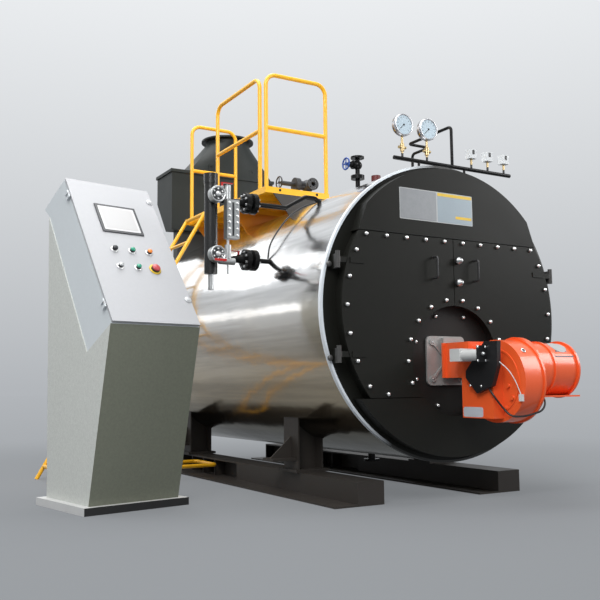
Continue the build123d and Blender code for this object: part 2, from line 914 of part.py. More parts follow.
def build_condenser():
    def profile(inset):
        side = make_face(Polyline(
            (condenser_front + inset, condenser_bottom + inset), (condenser_heel_y, condenser_bottom + inset),
            (condenser_rear - inset, condenser_heel_z), (condenser_rear - inset, condenser_top),
            (condenser_front + inset, condenser_top), close=True,
        ))
        width = condenser_width - 2 * inset
        return Pos(condenser_x - width / 2, 0, 0) * extrude(Plane.YZ * side, amount=width)

    half = condenser_width / 2
    seam = block(
        condenser_x - half - condenser_seam, condenser_x + half + condenser_seam,
        condenser_front - condenser_seam, condenser_rear + condenser_seam,
        condenser_top - condenser_seam_height, condenser_top,
    )
    nodes["condenser_box"] = profile(0) + seam - profile(condenser_wall)

    half = duct_width / 2
    duct = block(
        condenser_x - half, condenser_x + half, condenser_front + duct_inset, condenser_heel_y,
        axis_height, condenser_bottom,
    )
    nodes["flue_duct"] = duct - cylinder_y(shell_radius + seat, condenser_front - overrun, condenser_rear)

    middle = (condenser_front + condenser_rear) / 2
    depth = condenser_rear - condenser_front

    def hood(inset):
        base = Pos(hood_x, middle, condenser_top) * Rectangle(hood_width - 2 * inset, depth - 2 * inset)
        ring = Pos(hood_neck_x, middle, hood_top) * Circle(hood_neck_radius - inset)
        return loft([base, ring])

    neck = cylinder_z(hood_neck_radius, hood_top, hood_top + hood_neck, hood_neck_x, middle)
    bore = cylinder_z(hood_neck_radius - hood_wall, hood_top, hood_top + hood_neck, hood_neck_x, middle)
    duct = (hood(0) + neck) - (hood(hood_wall) + bore)

    low = hood_top + hood_neck
    flange = cylinder_z(flue_flange_radius, low, low + flue_flange, hood_neck_x, middle)
    top = low + flue_flange
    flange -= cylinder_z(hood_neck_radius - hood_wall, low - overrun, top + overrun, hood_neck_x, middle)
    holes = [
        cylinder_z(flue_bolt_radius, low - overrun, top + overrun, hood_neck_x + dx, middle + dy)
        for dx, dy in ring_of(flue_bolt_count, flue_bolt_circle)
    ]
    duct += flange - holes
    for x in (hood_x - hood_width / 4, hood_x + hood_width / 4):
        lug = block(x - lug_size / 2, x + lug_size / 2, condenser_front, condenser_front + lug_thickness,
                    condenser_top, condenser_top + lug_height)
        eye = condenser_top + lug_height - lug_hole * 2
        lug -= cylinder_y(lug_hole, condenser_front - overrun, condenser_rear, x, eye)
        duct += lug - hood(0)
    nodes["condenser_hood"] = duct


def lever(x, y, z, heading):
    """Flat quarter-turn lever on a round stem that stands on z."""
    half = lever_width / 2
    arm = block(-half, lever_length - half, -half, half, 0, lever_thickness)
    stem = cylinder_z(lever_stem, -lever_stem_height, 0)
    return Pos(x, y, z + lever_stem_height) * Rot(0, 0, heading) * (arm + stem)


def build_water_column():
    column = cylinder_z(column_radius, column_bottom, column_top, column_x, column_y)
    column += cylinder_z(column_cap_radius, column_top - column_cap, column_top, column_x, column_y)
    drain = column_bottom - column_drain
    column += cylinder_z(column_nozzle_radius, drain, column_bottom, column_x, column_y)
    nodes["water_column"] = column

    pipes = []
    cone_x = column_x + cone_start
    joint_x = column_x + cone_end
    run_x = joint_x + joint_length
    for hand, level in (("upper", upper_pipe_z), ("lower", lower_pipe_z)):
        stub = cylinder_x(column_pipe_radius, column_x, cone_x, column_y, level)
        stub = stub - cylinder_z(column_radius, column_bottom, column_top, column_x, column_y)
        cone = Cone(cone_low_radius, cone_high_radius, joint_x - cone_x)
        stub += Pos((cone_x + joint_x) / 2, column_y, level) * Rot(0, 90, 0) * cone
        stub += cylinder_x(joint_neck_radius, joint_x, run_x, column_y, level)
        stub += cylinder_x(joint_flange_radius, joint_x, joint_x + joint_flange, column_y, level)
        stub += cylinder_x(joint_flange_radius, run_x - joint_flange, run_x, column_y, level)
        if hand == "upper":
            run = bent_tube([
                (run_x, column_y, level), (-shell_radius * pipe_rise_share, column_y, level),
                (-shell_radius * pipe_crest_share, column_y, pipe_crest_z),
                (-shell_radius * pipe_fall_share, column_y, pipe_crest_z),
                (-shell_radius * pipe_end_share, column_y, axis_height + shell_radius * pipe_low_share),
            ], pipe_bend, column_pipe_radius)
        else:
            run = cylinder_x(column_pipe_radius, run_x, -shell_radius / 2, column_y, level)
            post_top = level + valve_lever_post
            stub += cylinder_z(cock_post_radius, level, post_top, valve_lever_x, column_y)
        pipes.append(stub + outside_shell(run))
    nodes["column_pipes"] = Compound(children=pipes)

    cocks = []
    for level in (upper_cock_z, lower_cock_z):
        cock = cylinder_y(cock_radius, cock_front, cock_front + cock_depth, column_x, level)
        cock += cylinder_x(cock_arm_radius, column_x, cock_boss_x, gauge_y, level)
        high = level + cock_boss_high
        cock += cylinder_z(cock_boss_radius, level - cock_boss_low, high, cock_boss_x, gauge_y)
        cock += cylinder_y(column_nozzle_radius, cock_front, column_y, column_x, level)
        if level == upper_cock_z:
            middle = cock_front + cock_depth / 2
            cock += cylinder_z(cock_post_radius, level, level + cock_post_top, cock_post_x, middle)
        else:
            tee = level - cock_tee_drop
            left = cock_boss_x - cock_tee_left
            cock += cylinder_x(cock_tee_radius, left, cock_boss_x + cock_tee_right, gauge_y, tee)
            cock += cylinder_z(cock_drain_radius, tee - cock_drain_length, tee, cock_boss_x, gauge_y)
        cock -= cylinder_z(column_radius, column_bottom - overrun, column_top + overrun, column_x, column_y)
        cocks.append(cock)
    nodes["gauge_cocks"] = Compound(children=cocks)

    half = gauge_width / 2
    front = gauge_y - gauge_depth / 2
    body = block(gauge_x - half, gauge_x + half, front, gauge_y + gauge_depth / 2, gauge_bottom, gauge_top)
    half = gauge_slot_width / 2
    body -= block(
        gauge_x - half, gauge_x + half, front - overrun, front + gauge_slot_depth,
        gauge_bottom + gauge_slot_width, gauge_top - gauge_slot_width,
    )
    body += cylinder_z(gauge_rod_radius, gauge_top, upper_cock_z - cock_boss_low, cock_boss_x, gauge_y)
    body += cylinder_z(gauge_rod_radius, lower_cock_z + cock_boss_high, gauge_bottom, cock_boss_x, gauge_y)
    nodes["level_gauge"] = body

    level = upper_cock_z + cock_post_top + seat
    nodes["upper_cock_lever"] = lever(cock_post_x, cock_front + cock_depth / 2, level, 0)
    tee_x = cock_boss_x - cock_tee_left + cock_lever_offset
    tee_front = gauge_y - cock_tee_radius - seat
    place = Pos(tee_x, tee_front, lower_cock_z - cock_tee_drop) * Rot(90, 0, 0)
    nodes["lower_cock_lever"] = place * lever(0, 0, 0, 180)
    nodes["lower_valve_lever"] = lever(valve_lever_x, column_y, lower_pipe_z + valve_lever_post + seat, 180)

    points = [
        (shell_radius * across, shell_lead_y, axis_height + shell_radius * up)
        for across, up in shell_lead_shares
    ]
    nodes["shell_cable"] = lead(points, lead_radius)


def build_manifold():
    pipe = cylinder_x(manifold_radius, manifold_left, manifold_right, manifold_y, manifold_z)
    for x in manifold_post_x:
        pipe += outside_shell(cylinder_z(manifold_post_radius, axis_height, manifold_z, x, manifold_y))
    nodes["gauge_manifold"] = pipe

    top = manifold_z + manifold_radius
    header = cylinder_x(manifold_radius, manifold_left, manifold_right, manifold_y, manifold_z)
    stems = []
    dials = []
    for x in dial_x:
        stem = cylinder_z(dial_stem_radius, top - dial_stem_radius / 2, dial_z - dial_radius, x, manifold_y)
        half = stem_body_height / 2
        stem += cylinder_z(stem_body_radius, stem_body_z - half, stem_body_z + half, x, manifold_y)
        reach = stem_body_radius * 2
        stem += cylinder_x(stem_body_radius * 2 / 3, x - reach, x + reach, manifold_y, stem_body_z)
        stems.append(stem - header)
        half = dial_depth / 2
        case = cylinder_y(dial_radius, manifold_y - half, manifold_y + half, x, dial_z)
        front = manifold_y - half
        face = cylinder_y(dial_radius - dial_rim, front - overrun, front + dial_recess, x, dial_z)
        dials.append(case - face)
    nodes["pressure_dials"] = Compound(children=dials)

    low = switch_z - switch_height / 2
    switches = []
    for x in switch_x:
        body = block(x - switch_width / 2, x + switch_width / 2, manifold_y - switch_depth / 2,
                     manifold_y + switch_depth / 2, low, low + switch_height)
        switches.append(body)
        stem = cylinder_z(switch_stem_radius, manifold_z, low, x, manifold_y)
        stems.append(stem - header)
    nodes["pressure_switches"] = Compound(children=switches)
    nodes["manifold_stems"] = Compound(children=stems)

    points = [
        (feed_pipe_x, manifold_y, manifold_z), (feed_pipe_x, manifold_y, feed_pipe_z),
        (feed_pipe_x, feed_pipe_back, feed_pipe_z), (feed_pipe_turn_x, feed_pipe_back, feed_pipe_z),
        (feed_pipe_turn_x, feed_pipe_drop_y, feed_pipe_z), (feed_pipe_turn_x, feed_pipe_drop_y, axis_height),
    ]
    feed = bent_tube(points, feed_pipe_bend, feed_pipe_radius)
    nodes["feed_pipe"] = outside_shell(feed - header)


def handwheel(radius, tip):
    """Spoked wheel about X at x = 0, with a stem that reaches x = tip."""
    spider = cylinder_x(wheel_hub, -wheel_wire, wheel_wire)
    for index in range(wheel_spokes):
        angle = 360 / wheel_spokes * index
        spider += Rot(angle, 0, 0) * cylinder_z(wheel_wire * 2 / 3, 0, radius - wheel_wire / 2)
    spider += cylinder_x(wheel_stem, 0, tip)
    rim = Rot(180 / wheel_spokes, 0, 0) * Rot(0, 90, 0) * Torus(radius, wheel_wire)
    return rim + spider


def build_vent_valve():
    body = outside_shell(cylinder_z(vent_pipe_radius, axis_height, vent_low_flange, vent_x, vent_y))
    body += cylinder_z(vent_flange_radius, vent_low_flange, vent_low_flange + 2 * vent_flange, vent_x, vent_y)
    body += cylinder_z(vent_pipe_radius, vent_low_flange, vent_top_flange, vent_x, vent_y)
    body += Pos(vent_x, vent_y, vent_body_z) * Sphere(vent_body_radius)
    top = vent_top_flange + vent_flange
    body += cylinder_z(vent_flange_radius, vent_top_flange, top, vent_x, vent_y)
    for dx, dy in ring_of(4, vent_bolt_circle / 2, 45):
        body -= cylinder_z(vent_bolt_radius, vent_top_flange, top + overrun, vent_x + dx, vent_y + dy)
    tip = vent_x - bonnet_length
    body += cylinder_x(bonnet_radius, tip, vent_x, vent_y, vent_body_z)
    flange_x = vent_x - vent_body_radius
    body += cylinder_x(bonnet_flange_radius, flange_x - bonnet_flange, flange_x, vent_y, vent_body_z)
    body -= cylinder_x(wheel_stem + seat, tip - overrun, tip + wheel_stem_grip + seat, vent_y, vent_body_z)
    body -= cylinder_z(vent_bore, vent_body_z + vent_body_radius / 2, top + overrun, vent_x, vent_y)
    nodes["vent_valve"] = body
    wheel = handwheel(wheel_radius, wheel_gap + wheel_stem_grip)
    nodes["vent_handwheel"] = Pos(tip - wheel_gap, vent_y, vent_body_z) * wheel


def build_steam_valve():
    low = steam_z - steam_reach
    body = outside_shell(cylinder_z(steam_pipe_radius, axis_height, low, steam_x, steam_y))
    body += cylinder_z(steam_flange_radius, low - steam_flange, low + steam_flange, steam_x, steam_y)
    throat = steam_pipe_radius * 4 / 3
    body += cylinder_z(throat, low, steam_z, steam_x, steam_y)
    body += Pos(steam_x, steam_y, steam_z) * Sphere(steam_body_radius)
    face = steam_y - steam_reach
    body += cylinder_y(throat, face, steam_y, steam_x, steam_z)
    body += cylinder_y(steam_flange_radius, face, face + steam_flange, steam_x, steam_z)
    for dx, dz in ring_of(4, steam_bolt_circle / 2, 45):
        body -= cylinder_y(steam_bolt_radius, face - overrun, face + steam_flange, steam_x + dx, steam_z + dz)
    tip = steam_x - steam_bonnet_length
    body += cylinder_x(bonnet_radius, tip, steam_x, steam_y, steam_z)
    neck = steam_x - steam_bonnet_neck
    body += cylinder_x(steam_bonnet_radius, neck, steam_x, steam_y, steam_z)
    body += cylinder_x(steam_bonnet_flange_radius, neck - steam_bonnet_flange, neck, steam_y, steam_z)
    body -= cylinder_x(wheel_stem + seat, tip - overrun, tip + wheel_stem_grip + seat, steam_y, steam_z)
    body -= cylinder_y(steam_bore, face - overrun, steam_y, steam_x, steam_z)
    nodes["steam_valve"] = body
    wheel = handwheel(steam_wheel_radius, wheel_gap + wheel_stem_grip)
    nodes["steam_handwheel"] = Pos(tip - wheel_gap, steam_y, steam_z) * wheel


def build_small_fittings():
    nodes["crown_cap"] = outside_shell(cylinder_z(cap_radius, axis_height, cap_top, cap_x, cap_y))
    nozzles = []
    for y in (blowdown_front_y, blowdown_rear_y):
        blowdown_bottom = floor_clearance - blowdown_drop
        nozzle = cylinder_z(blowdown_radius, blowdown_bottom, axis_height, 0, y)
        nozzle = min((nozzle - shell_solid(seat)).solids(), key=lambda part: part.bounding_box().min.Z)
        nozzle += cylinder_z(blowdown_flange_radius, blowdown_bottom, blowdown_bottom + blowdown_flange, 0, y)
        nozzles.append(nozzle)
    nodes["blowdown_nozzles"] = Compound(children=nozzles)


def build_burner():
    centre = burner_height
    seat_y = -burner_plate_front
    face = seat_y - burner_flange_thickness
    square = RectangleRounded(burner_flange_size, burner_flange_size, burner_flange_corner)
    flange = front_slab(Pos(burner_flange_x, 0) * square, face, seat_y, z=centre)
    hub_front = face - burner_hub_reach
    flange += block(
        burner_hub_left, burner_hub_right, hub_front, face, centre + burner_hub_low, centre + burner_hub_high,
    )
    inset = burner_flange_size / 2 - corner_boss_inset
    for angle in (45, 135):
        bar = Pos(burner_flange_x, 0) * Rot(0, 0, angle) * Rectangle(inset * sqrt(8), burner_rib)
        flange += front_slab(bar, face - burner_rib_reach, face, z=centre)
    for dx in (-inset, inset):
        for dz in (-inset, inset):
            x = burner_flange_x + dx
            flange += cylinder_y(corner_boss_radius, face - burner_rib_reach, face, x, centre + dz)
    nodes["burner_flange"] = flange

    low = centre + neck_low
    high = centre + neck_high
    head = block(-neck_half_width, neck_half_width, neck_front, hub_front, low, high)
    head += block(-neck_plate_half, neck_plate_half, hub_front - neck_plate, hub_front, low, high)
    head += block(block_left, block_right, block_front, block_rear, centre + block_bottom, centre + block_top)
    z = centre - drum_drop
    right = drum_width
    head += cylinder_x(drum_radius, 0, right, drum_y, z)
    head += cylinder_x(drum_radius + drum_lip_height, right - drum_lip, right, drum_y, z)
    ring = cylinder_x(drum_ring_radius, -drum_ring_height, 0, drum_y, z)
    head += ring - cylinder_x(drum_ring_radius - drum_ring_width, -drum_ring_height, 0, drum_y, z)
    for y, rise in drum_bosses:
        head += cylinder_x(drum_boss_radius, -drum_boss_height, 0, y, centre + rise)
    nodes["burner_housing"] = head

    z = centre - intake_drop
    mouth = right + intake_length
    intake = cylinder_x(intake_flange_radius, right, right + intake_flange, drum_y, z)
    intake += cylinder_x(intake_radius, right, mouth, drum_y, z)
    intake += cylinder_x(intake_radius + intake_rim, mouth - intake_rim, mouth, drum_y, z)
    middle = right + intake_length * intake_rib_share
    intake += cylinder_x(intake_radius + intake_rib_height, middle, middle + intake_rib, drum_y, z)
    foot = z - intake_radius - intake_foot_drop
    half = intake_foot_width / 2
    intake += block(right + intake_flange, mouth, drum_y - half, drum_y + half, foot, foot + intake_foot)
    bore = cylinder_x(intake_radius - intake_wall, mouth - intake_depth, mouth + overrun, drum_y, z)
    nodes["burner_intake"] = intake - bore

    cover = make_face(Polyline(*cover_outline, close=True))
    plate = Pos(block_left - cover_thickness, 0, centre) * extrude(Plane.YZ * cover, amount=cover_thickness)
    nodes["burner_cover"] = plate

    servo = block(servo_left, block_left, servo_front, servo_rear, centre + servo_low, centre + servo_high)
    level = centre + servo_drum_rise
    servo += cylinder_y(servo_drum_radius, servo_drum_end, servo_front, servo_drum_x, level)
    plug_low = centre + plug_rise - plug_height / 2
    plug_front = plug_y - plug_length / 2
    plug = block(-plug_width, 0, plug_front, plug_front + plug_length, plug_low, plug_low + plug_height)
    nodes["burner_servo"] = Compound(children=[servo, plug])

    cable = lead([(x, y, centre + rise) for x, y, rise in lead_points], lead_radius)
    nodes["burner_cable"] = cable - plate - nodes["burner_intake"]
    tube = lead([(x, y, centre + rise) for x, y, rise in tube_points], tube_radius_small)
    nodes["sensing_tube"] = tube - plate - plug


def desk_slab(points, width, start=0):
    """Block across the desk from its side outline, given as (depth, height)."""
    return Pos(start, 0, 0) * extrude(Plane.YZ * make_face(Polyline(*points, close=True)), amount=width)


def build_desk():
    place = Pos(desk_x, desk_y, 0) * Rot(0, 0, desk_angle)
    foot = (0, desk_plinth_height)
    heel = (desk_foot_depth, desk_plinth_height)
    nose = (-desk_nose_reach, desk_nose_z)
    seam = (desk_seam_depth, desk_seam_z)
    shoulder = (desk_shoulder_depth, desk_shoulder_z)
    crown = (desk_crown_depth, desk_crown_z)
    brow = (desk_brow_depth, desk_brow_z)

    pedestal = desk_slab([foot, heel, shoulder, seam, nose], desk_width)
    nodes["desk_pedestal"] = place * pedestal

    slope = atan2(desk_brow_z - desk_nose_z, desk_brow_depth + desk_nose_reach)
    head = desk_slab([nose, seam, shoulder, crown, brow], desk_width - 2 * desk_head_inset, desk_head_inset)
    length = sqrt((desk_brow_z - desk_nose_z) ** 2 + (desk_brow_depth + desk_nose_reach) ** 2)
    panel = Pos(0, -desk_nose_reach, desk_nose_z) * Rot(degrees(slope), 0, 0)
    left = desk_head_inset + desk_skin
    low = desk_door_margin
    room = block(left, desk_width - left, low, length - low, -desk_head_room, overrun)
    head = head - panel * room
    left += desk_skin
    low += desk_skin
    floor = -desk_head_room
    plate = block(left, desk_width - left, low, length - low, floor, floor + desk_skin / 2)
    head = place * (head + panel * plate)

    low = door_gap
    high = low + desk_door_thickness
    leaf = block(door_gap, desk_width - door_gap, desk_door_edge, length - desk_door_edge, low, high)
    left = desk_head_inset + desk_skin + door_gap * 2
    edge = desk_door_margin + door_gap * 2
    frame = block(left, desk_width - left, edge, length - edge, -desk_skin, low)
    left += desk_skin
    edge += desk_skin
    frame -= block(left, desk_width - left, edge, length - edge, -desk_skin - overrun, low)
    leaf += frame
    pins = None
    for share in desk_hinge_shares:
        middle = length * share
        third = desk_hinge_length / 3
        x = -desk_hinge_radius
        z = desk_door_thickness / 2 + low
        moving = cylinder_along(desk_hinge_radius, middle - third / 2, middle + third / 2, x, z)
        web = desk_skin / 6
        start = middle - third * 3 / 2
        end = middle + third * 3 / 2
        inner_start = middle - third / 2 - seat
        inner_end = middle + third / 2 + seat
        moving += block(x, door_gap + desk_skin, middle - third / 2, middle + third / 2, z - web, z + web)
        moving -= cylinder_along(desk_hinge_pin + seat, middle - third, middle + third, x, z)
        leaf += moving
        fixed = cylinder_along(desk_hinge_radius, start, inner_start, x, z)
        fixed += cylinder_along(desk_hinge_radius, inner_end, end, x, z)
        fixed += cylinder_along(desk_hinge_pin, start, end, x, z)
        low_edge = -desk_skin * 2
        fixed += block(x - desk_hinge_radius, 0, start, inner_start, low_edge, z)
        fixed += block(x - desk_hinge_radius, 0, inner_end, end, low_edge, z)
        fixed += block(x / 2, desk_head_inset, start, end, low_edge, -desk_skin)
        pins = fixed if pins is None else pins + fixed
    nodes["desk_door"] = place * panel * leaf
    nodes["desk_head"] = head + place * panel * pins

    screen = block(
        desk_screen_x, desk_screen_x + desk_screen_width, desk_screen_y, desk_screen_y + desk_screen_height,
        high, high + desk_screen_thickness,
    )
    knobs = [screen]
    for column in range(desk_button_columns):
        for row in range(desk_button_rows):
            x = desk_button_x + desk_button_pitch * column
            y = desk_button_y - desk_button_drop * row
            last = column == desk_button_columns - 1 and row == desk_button_rows - 1
            radius = desk_stop_radius if last else desk_button_radius
            knobs.append(cylinder_z(radius, high, high + desk_button_height, x, y))
    for share in desk_lock_shares:
        x = desk_width - desk_lock_inset
        knobs.append(cylinder_z(desk_lock_radius, high, high + desk_lock_height, x, length * share))
    nodes["desk_controls"] = place * panel * Compound(children=knobs)

    base = block(
        -desk_plinth_out, desk_width + desk_plinth_out, -desk_plinth_out, desk_foot_depth + desk_plinth_out,
        0, desk_plinth_height,
    )
    nodes["desk_plinth"] = place * base


build_shell()
build_smoke_box()
build_front_panels()
build_doors()
build_rear()
build_skids()
build_legs()
build_platform()
build_rails()
build_ladder()
build_condenser()
build_water_column()
build_manifold()
build_vent_valve()
build_steam_valve()
build_small_fittings()
build_burner()
build_desk()

boxes = [shape.bounding_box() for shape in nodes.values()]
centre_x = (min(box.min.X for box in boxes) + max(box.max.X for box in boxes)) / 2
centre_y = (min(box.min.Y for box in boxes) + max(box.max.Y for box in boxes)) / 2
for name, shape in nodes.items():
    export_step(Pos(-centre_x, -centre_y, 0) * shape, "parts/" + name + ".step")
print("origin at", round(centre_x, 3), round(centre_y, 3))
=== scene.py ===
import bpy
import json
import numpy as np
from math import cos, radians, sin
from mathutils import Matrix, Vector


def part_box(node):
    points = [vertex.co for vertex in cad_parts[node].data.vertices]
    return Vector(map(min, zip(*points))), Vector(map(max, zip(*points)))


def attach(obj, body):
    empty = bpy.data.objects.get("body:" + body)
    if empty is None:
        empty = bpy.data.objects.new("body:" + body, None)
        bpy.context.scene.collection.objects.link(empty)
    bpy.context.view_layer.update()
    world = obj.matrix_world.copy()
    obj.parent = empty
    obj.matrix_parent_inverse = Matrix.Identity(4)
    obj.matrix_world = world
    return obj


# Looks of the boiler set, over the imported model. Metres, in the model's own frame.

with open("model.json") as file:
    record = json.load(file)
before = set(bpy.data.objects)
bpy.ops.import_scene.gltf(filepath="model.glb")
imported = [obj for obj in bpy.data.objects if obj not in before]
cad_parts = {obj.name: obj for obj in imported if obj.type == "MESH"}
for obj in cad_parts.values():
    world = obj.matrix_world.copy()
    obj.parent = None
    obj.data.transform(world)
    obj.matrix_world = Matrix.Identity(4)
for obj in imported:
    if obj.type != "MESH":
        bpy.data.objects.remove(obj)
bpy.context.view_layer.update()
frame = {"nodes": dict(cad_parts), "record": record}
nodes = frame["nodes"]

# The shell's front centre, from which places are counted. Its trim ring stands a lip's depth before it.
ringLip = 0.010
ringLow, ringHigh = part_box("front_trim_ring")
axis = Vector(((ringLow.x + ringHigh.x) / 2, ringLow.y + ringLip, (ringLow.z + ringHigh.z) / 2))

# Camera, where the photograph was taken from: place from the front centre, turn in radians, lens in mm
view = {
    "offset": (-3.6491, -4.2621, -0.4934), "yaw": 0.5309, "pitch": 0.1054, "roll": -0.0102,
    "lens": 48.97, "sensor": 36, "farthest": 200,
}


# Pose of a camera that looks along a yaw from +y to +x and a pitch upwards, rolled about its view
def cameraMatrix(place, yaw, pitch, roll):
    forward = Vector((sin(yaw) * cos(pitch), cos(yaw) * cos(pitch), sin(pitch)))
    level = Vector((cos(yaw), -sin(yaw), 0))
    upright = level.cross(forward)
    tiltedRight = cos(roll) * level + sin(roll) * upright
    tiltedUp = -sin(roll) * level + cos(roll) * upright
    pose = Matrix((tiltedRight, tiltedUp, -forward)).transposed()
    return Matrix.Translation(place) @ pose.to_4x4()


camera = bpy.data.objects.new("camera", bpy.data.cameras.new("camera"))
bpy.context.scene.collection.objects.link(camera)
camera.data.lens = view["lens"]
camera.data.sensor_width = view["sensor"]
camera.data.clip_end = view["farthest"]
camera.matrix_world = cameraMatrix(axis + Vector(view["offset"]), view["yaw"], view["pitch"], view["roll"])
bpy.context.scene.camera = camera
bpy.context.scene.view_settings.view_transform = "Standard"
print("camera placed")


# A node material, its tree and its Principled shader
def freshMaterial(name):
    material = bpy.data.materials.new(name)
    material.use_nodes = True
    tree = material.node_tree
    return material, tree, tree.nodes["Principled BSDF"]


# Sets inputs of a node, from numbers or from the outputs of other nodes
def feed(tree, node, values):
    for key, value in values.items():
        if isinstance(value, bpy.types.NodeSocket):
            tree.links.new(value, node.inputs[key])
        else:
            node.inputs[key].default_value = value


# Adds a shader node, sets its options, then its inputs
def put(tree, kind, values=None, **settings):
    node = tree.nodes.new(kind)
    for key, value in settings.items():
        setattr(node, key, value)
    feed(tree, node, values or {})
    return node


# Result of a maths node
def computed(tree, operation, *values, clamp=False):
    node = put(tree, "ShaderNodeMath", dict(enumerate(values)), operation=operation, use_clamp=clamp)
    return node.outputs[0]


# Noise from 0 to 1 at a place
def noise(tree, vector, scale, detail, roughness):
    values = {"Vector": vector, "Scale": scale, "Detail": detail, "Roughness": roughness}
    return put(tree, "ShaderNodeTexNoise", values).outputs["Fac"]


# A value taken from one span of numbers to another, and held at both ends
def rescaled(tree, value, span, result=(0.0, 1.0), interpolation="LINEAR"):
    values = {
        "Value": value, "From Min": span[0], "From Max": span[1], "To Min": result[0], "To Max": result[1],
    }
    return put(tree, "ShaderNodeMapRange", values, interpolation_type=interpolation).outputs["Result"]


# Mix of two colours, each three numbers or another node's output
def blend(tree, factor, first, second):
    first, second = [(*colour, 1) if isinstance(colour, tuple) else colour for colour in (first, second)]
    values = {"Factor": factor, "A": first, "B": second}
    return put(tree, "ShaderNodeMix", values, data_type="RGBA").outputs["Result"]


# A colour times a number
def scaled(tree, colour, factor):
    node = put(tree, "ShaderNodeVectorMath", {0: colour, "Scale": factor}, operation="SCALE")
    return node.outputs["Vector"]


# Distance of the shaded place from a point
def distance(tree, place, point):
    return put(tree, "ShaderNodeVectorMath", {0: place, 1: point}, operation="DISTANCE").outputs["Value"]


# Surface normal over bumps
def dented(tree, values):
    return put(tree, "ShaderNodeBump", values).outputs["Normal"]


# Shared variation: detail and roughness of its two noises, how much finer the second is, and its height
variation = {"slow": (4.0, 0.6), "fine": (2.0, 0.5), "finer": 24.0, "height": 0.002}


# Slow and fine variation over a surface: colour factor, roughness offset and a height for bumps
def wornGroup():
    tree = bpy.data.node_groups.new("surfaceVariation", "ShaderNodeTree")
    for name in ("Scale", "Amount", "Grain"):
        tree.interface.new_socket(name, in_out="INPUT", socket_type="NodeSocketFloat")
    tree.interface.new_socket("Coordinate", in_out="INPUT", socket_type="NodeSocketVector")
    for name in ("Shade", "Rough", "Height"):
        tree.interface.new_socket(name, in_out="OUTPUT", socket_type="NodeSocketFloat")
    entry = tree.nodes.new("NodeGroupInput").outputs
    fineScale = computed(tree, "MULTIPLY", entry["Scale"], variation["finer"])
    slow = noise(tree, entry["Coordinate"], entry["Scale"], *variation["slow"])
    fine = noise(tree, entry["Coordinate"], fineScale, *variation["fine"])
    # shade = 1 + amount * (slow - 0.5) + grain * (fine - 0.5)
    low = computed(tree, "SUBTRACT", slow, 0.5)
    high = computed(tree, "SUBTRACT", fine, 0.5)
    weighted = computed(tree, "MULTIPLY_ADD", low, entry["Amount"], 1.0)
    shade = computed(tree, "MULTIPLY_ADD", high, entry["Grain"], weighted)
    rough = computed(tree, "MULTIPLY", low, entry["Amount"])
    put(tree, "NodeGroupOutput", {"Shade": shade, "Rough": rough, "Height": fine})
    return tree


surfaceVariation = wornGroup()


# Outputs of the shared variation at a place
def varied(tree, place, scale, amount, grain):
    values = {"Coordinate": place, "Scale": scale, "Amount": amount, "Grain": grain}
    return put(tree, "ShaderNodeGroup", values, node_tree=surfaceVariation).outputs


# Material whose colour, roughness and surface vary with the object's own coordinates
def paint(name, colour, roughness, metallic, scale, amount, grain, bump, coat):
    material, tree, shader = freshMaterial(name)
    place = put(tree, "ShaderNodeTexCoord").outputs["Object"]
    vary = varied(tree, place, scale, amount, grain)
    feed(tree, shader, {
        "Base Color": scaled(tree, colour, vary["Shade"]),
        "Roughness": computed(tree, "ADD", roughness, vary["Rough"], clamp=True),
        "Normal": dented(tree, {"Height": vary["Height"], "Strength": bump, "Distance": variation["height"]}),
        "Metallic": metallic,
        "Coat Weight": coat,
    })
    return material


# Polished sheet: streaks along the shell's length, a warm, darker painted reflection of the floor on its
# lower part, and painted shade near the floor
def streaked(name, look):
    material, tree, shader = freshMaterial(name)
    place = put(tree, "ShaderNodeTexCoord").outputs["Object"]
    level = put(tree, "ShaderNodeSeparateXYZ", {0: place}).outputs["Z"]
    stretched = put(tree, "ShaderNodeMapping", {"Vector": place, "Scale": look["stretch"]}).outputs["Vector"]
    streak = noise(tree, stretched, *look["streaks"])
    cloud = noise(tree, place, *look["clouds"])
    wave = noise(tree, place, *look["waves"])
    # The painted reflection's edge lies where level + sway * cloud crosses its span. Near the floor painted
    # shade makes it darker still.
    swayed = computed(tree, "MULTIPLY_ADD", cloud, look["sway"], level)
    reflectionMask = rescaled(tree, swayed, look["reflectionSpan"], interpolation="SMOOTHSTEP")
    deepFilm = rescaled(tree, level, look["deepSpan"], interpolation="SMOOTHSTEP")
    tint = blend(tree, deepFilm, look["deep"], blend(tree, reflectionMask, look["under"], look["upper"]))
    shade = rescaled(tree, streak, look["shadeSpan"], (look["dark"], 1.0))
    waved = dented(tree, {"Height": wave, "Strength": look["wave"], "Distance": look["waveHeight"]})
    bumps = {"Height": streak, "Strength": look["bump"], "Distance": look["bumpHeight"], "Normal": waved}
    feed(tree, shader, {
        "Base Color": scaled(tree, tint, shade),
        "Roughness": rescaled(tree, streak, look["roughSpan"], look["rough"]),
        "Normal": dented(tree, bumps),
        "Metallic": 1.0,
    })
    return material


# Paint with a second look past a plane: dot(place - axis, heading) > beyond, blended over the spread
def twoTone(name, first, second, heading, beyond, spread):
    material, tree, shader = freshMaterial(name)
    colour, roughness, metallic, scale, amount, grain, bump, coat = second
    place = put(tree, "ShaderNodeTexCoord").outputs["Object"]
    vary = varied(tree, place, scale, amount, grain)
    along = put(tree, "ShaderNodeVectorMath", {0: place, 1: tuple(heading)}, operation="DOT_PRODUCT")
    edge = Vector(heading).dot(axis) + beyond
    mask = rescaled(tree, along.outputs["Value"], (edge - spread, edge + spread))
    for key, start, end in (("Roughness", first[1], roughness), ("Metallic", first[2], metallic)):
        level = put(tree, "ShaderNodeMix", {"Factor": mask, "A": start, "B": end}, data_type="FLOAT")
        feed(tree, shader, {key: level.outputs["Result"]})
    feed(tree, shader, {
        "Base Color": scaled(tree, blend(tree, mask, first[0], colour), vary["Shade"]),
        "Normal": dented(tree, {"Height": vary["Height"], "Strength": bump, "Distance": variation["height"]}),
        "Coat Weight": coat,
    })
    return material


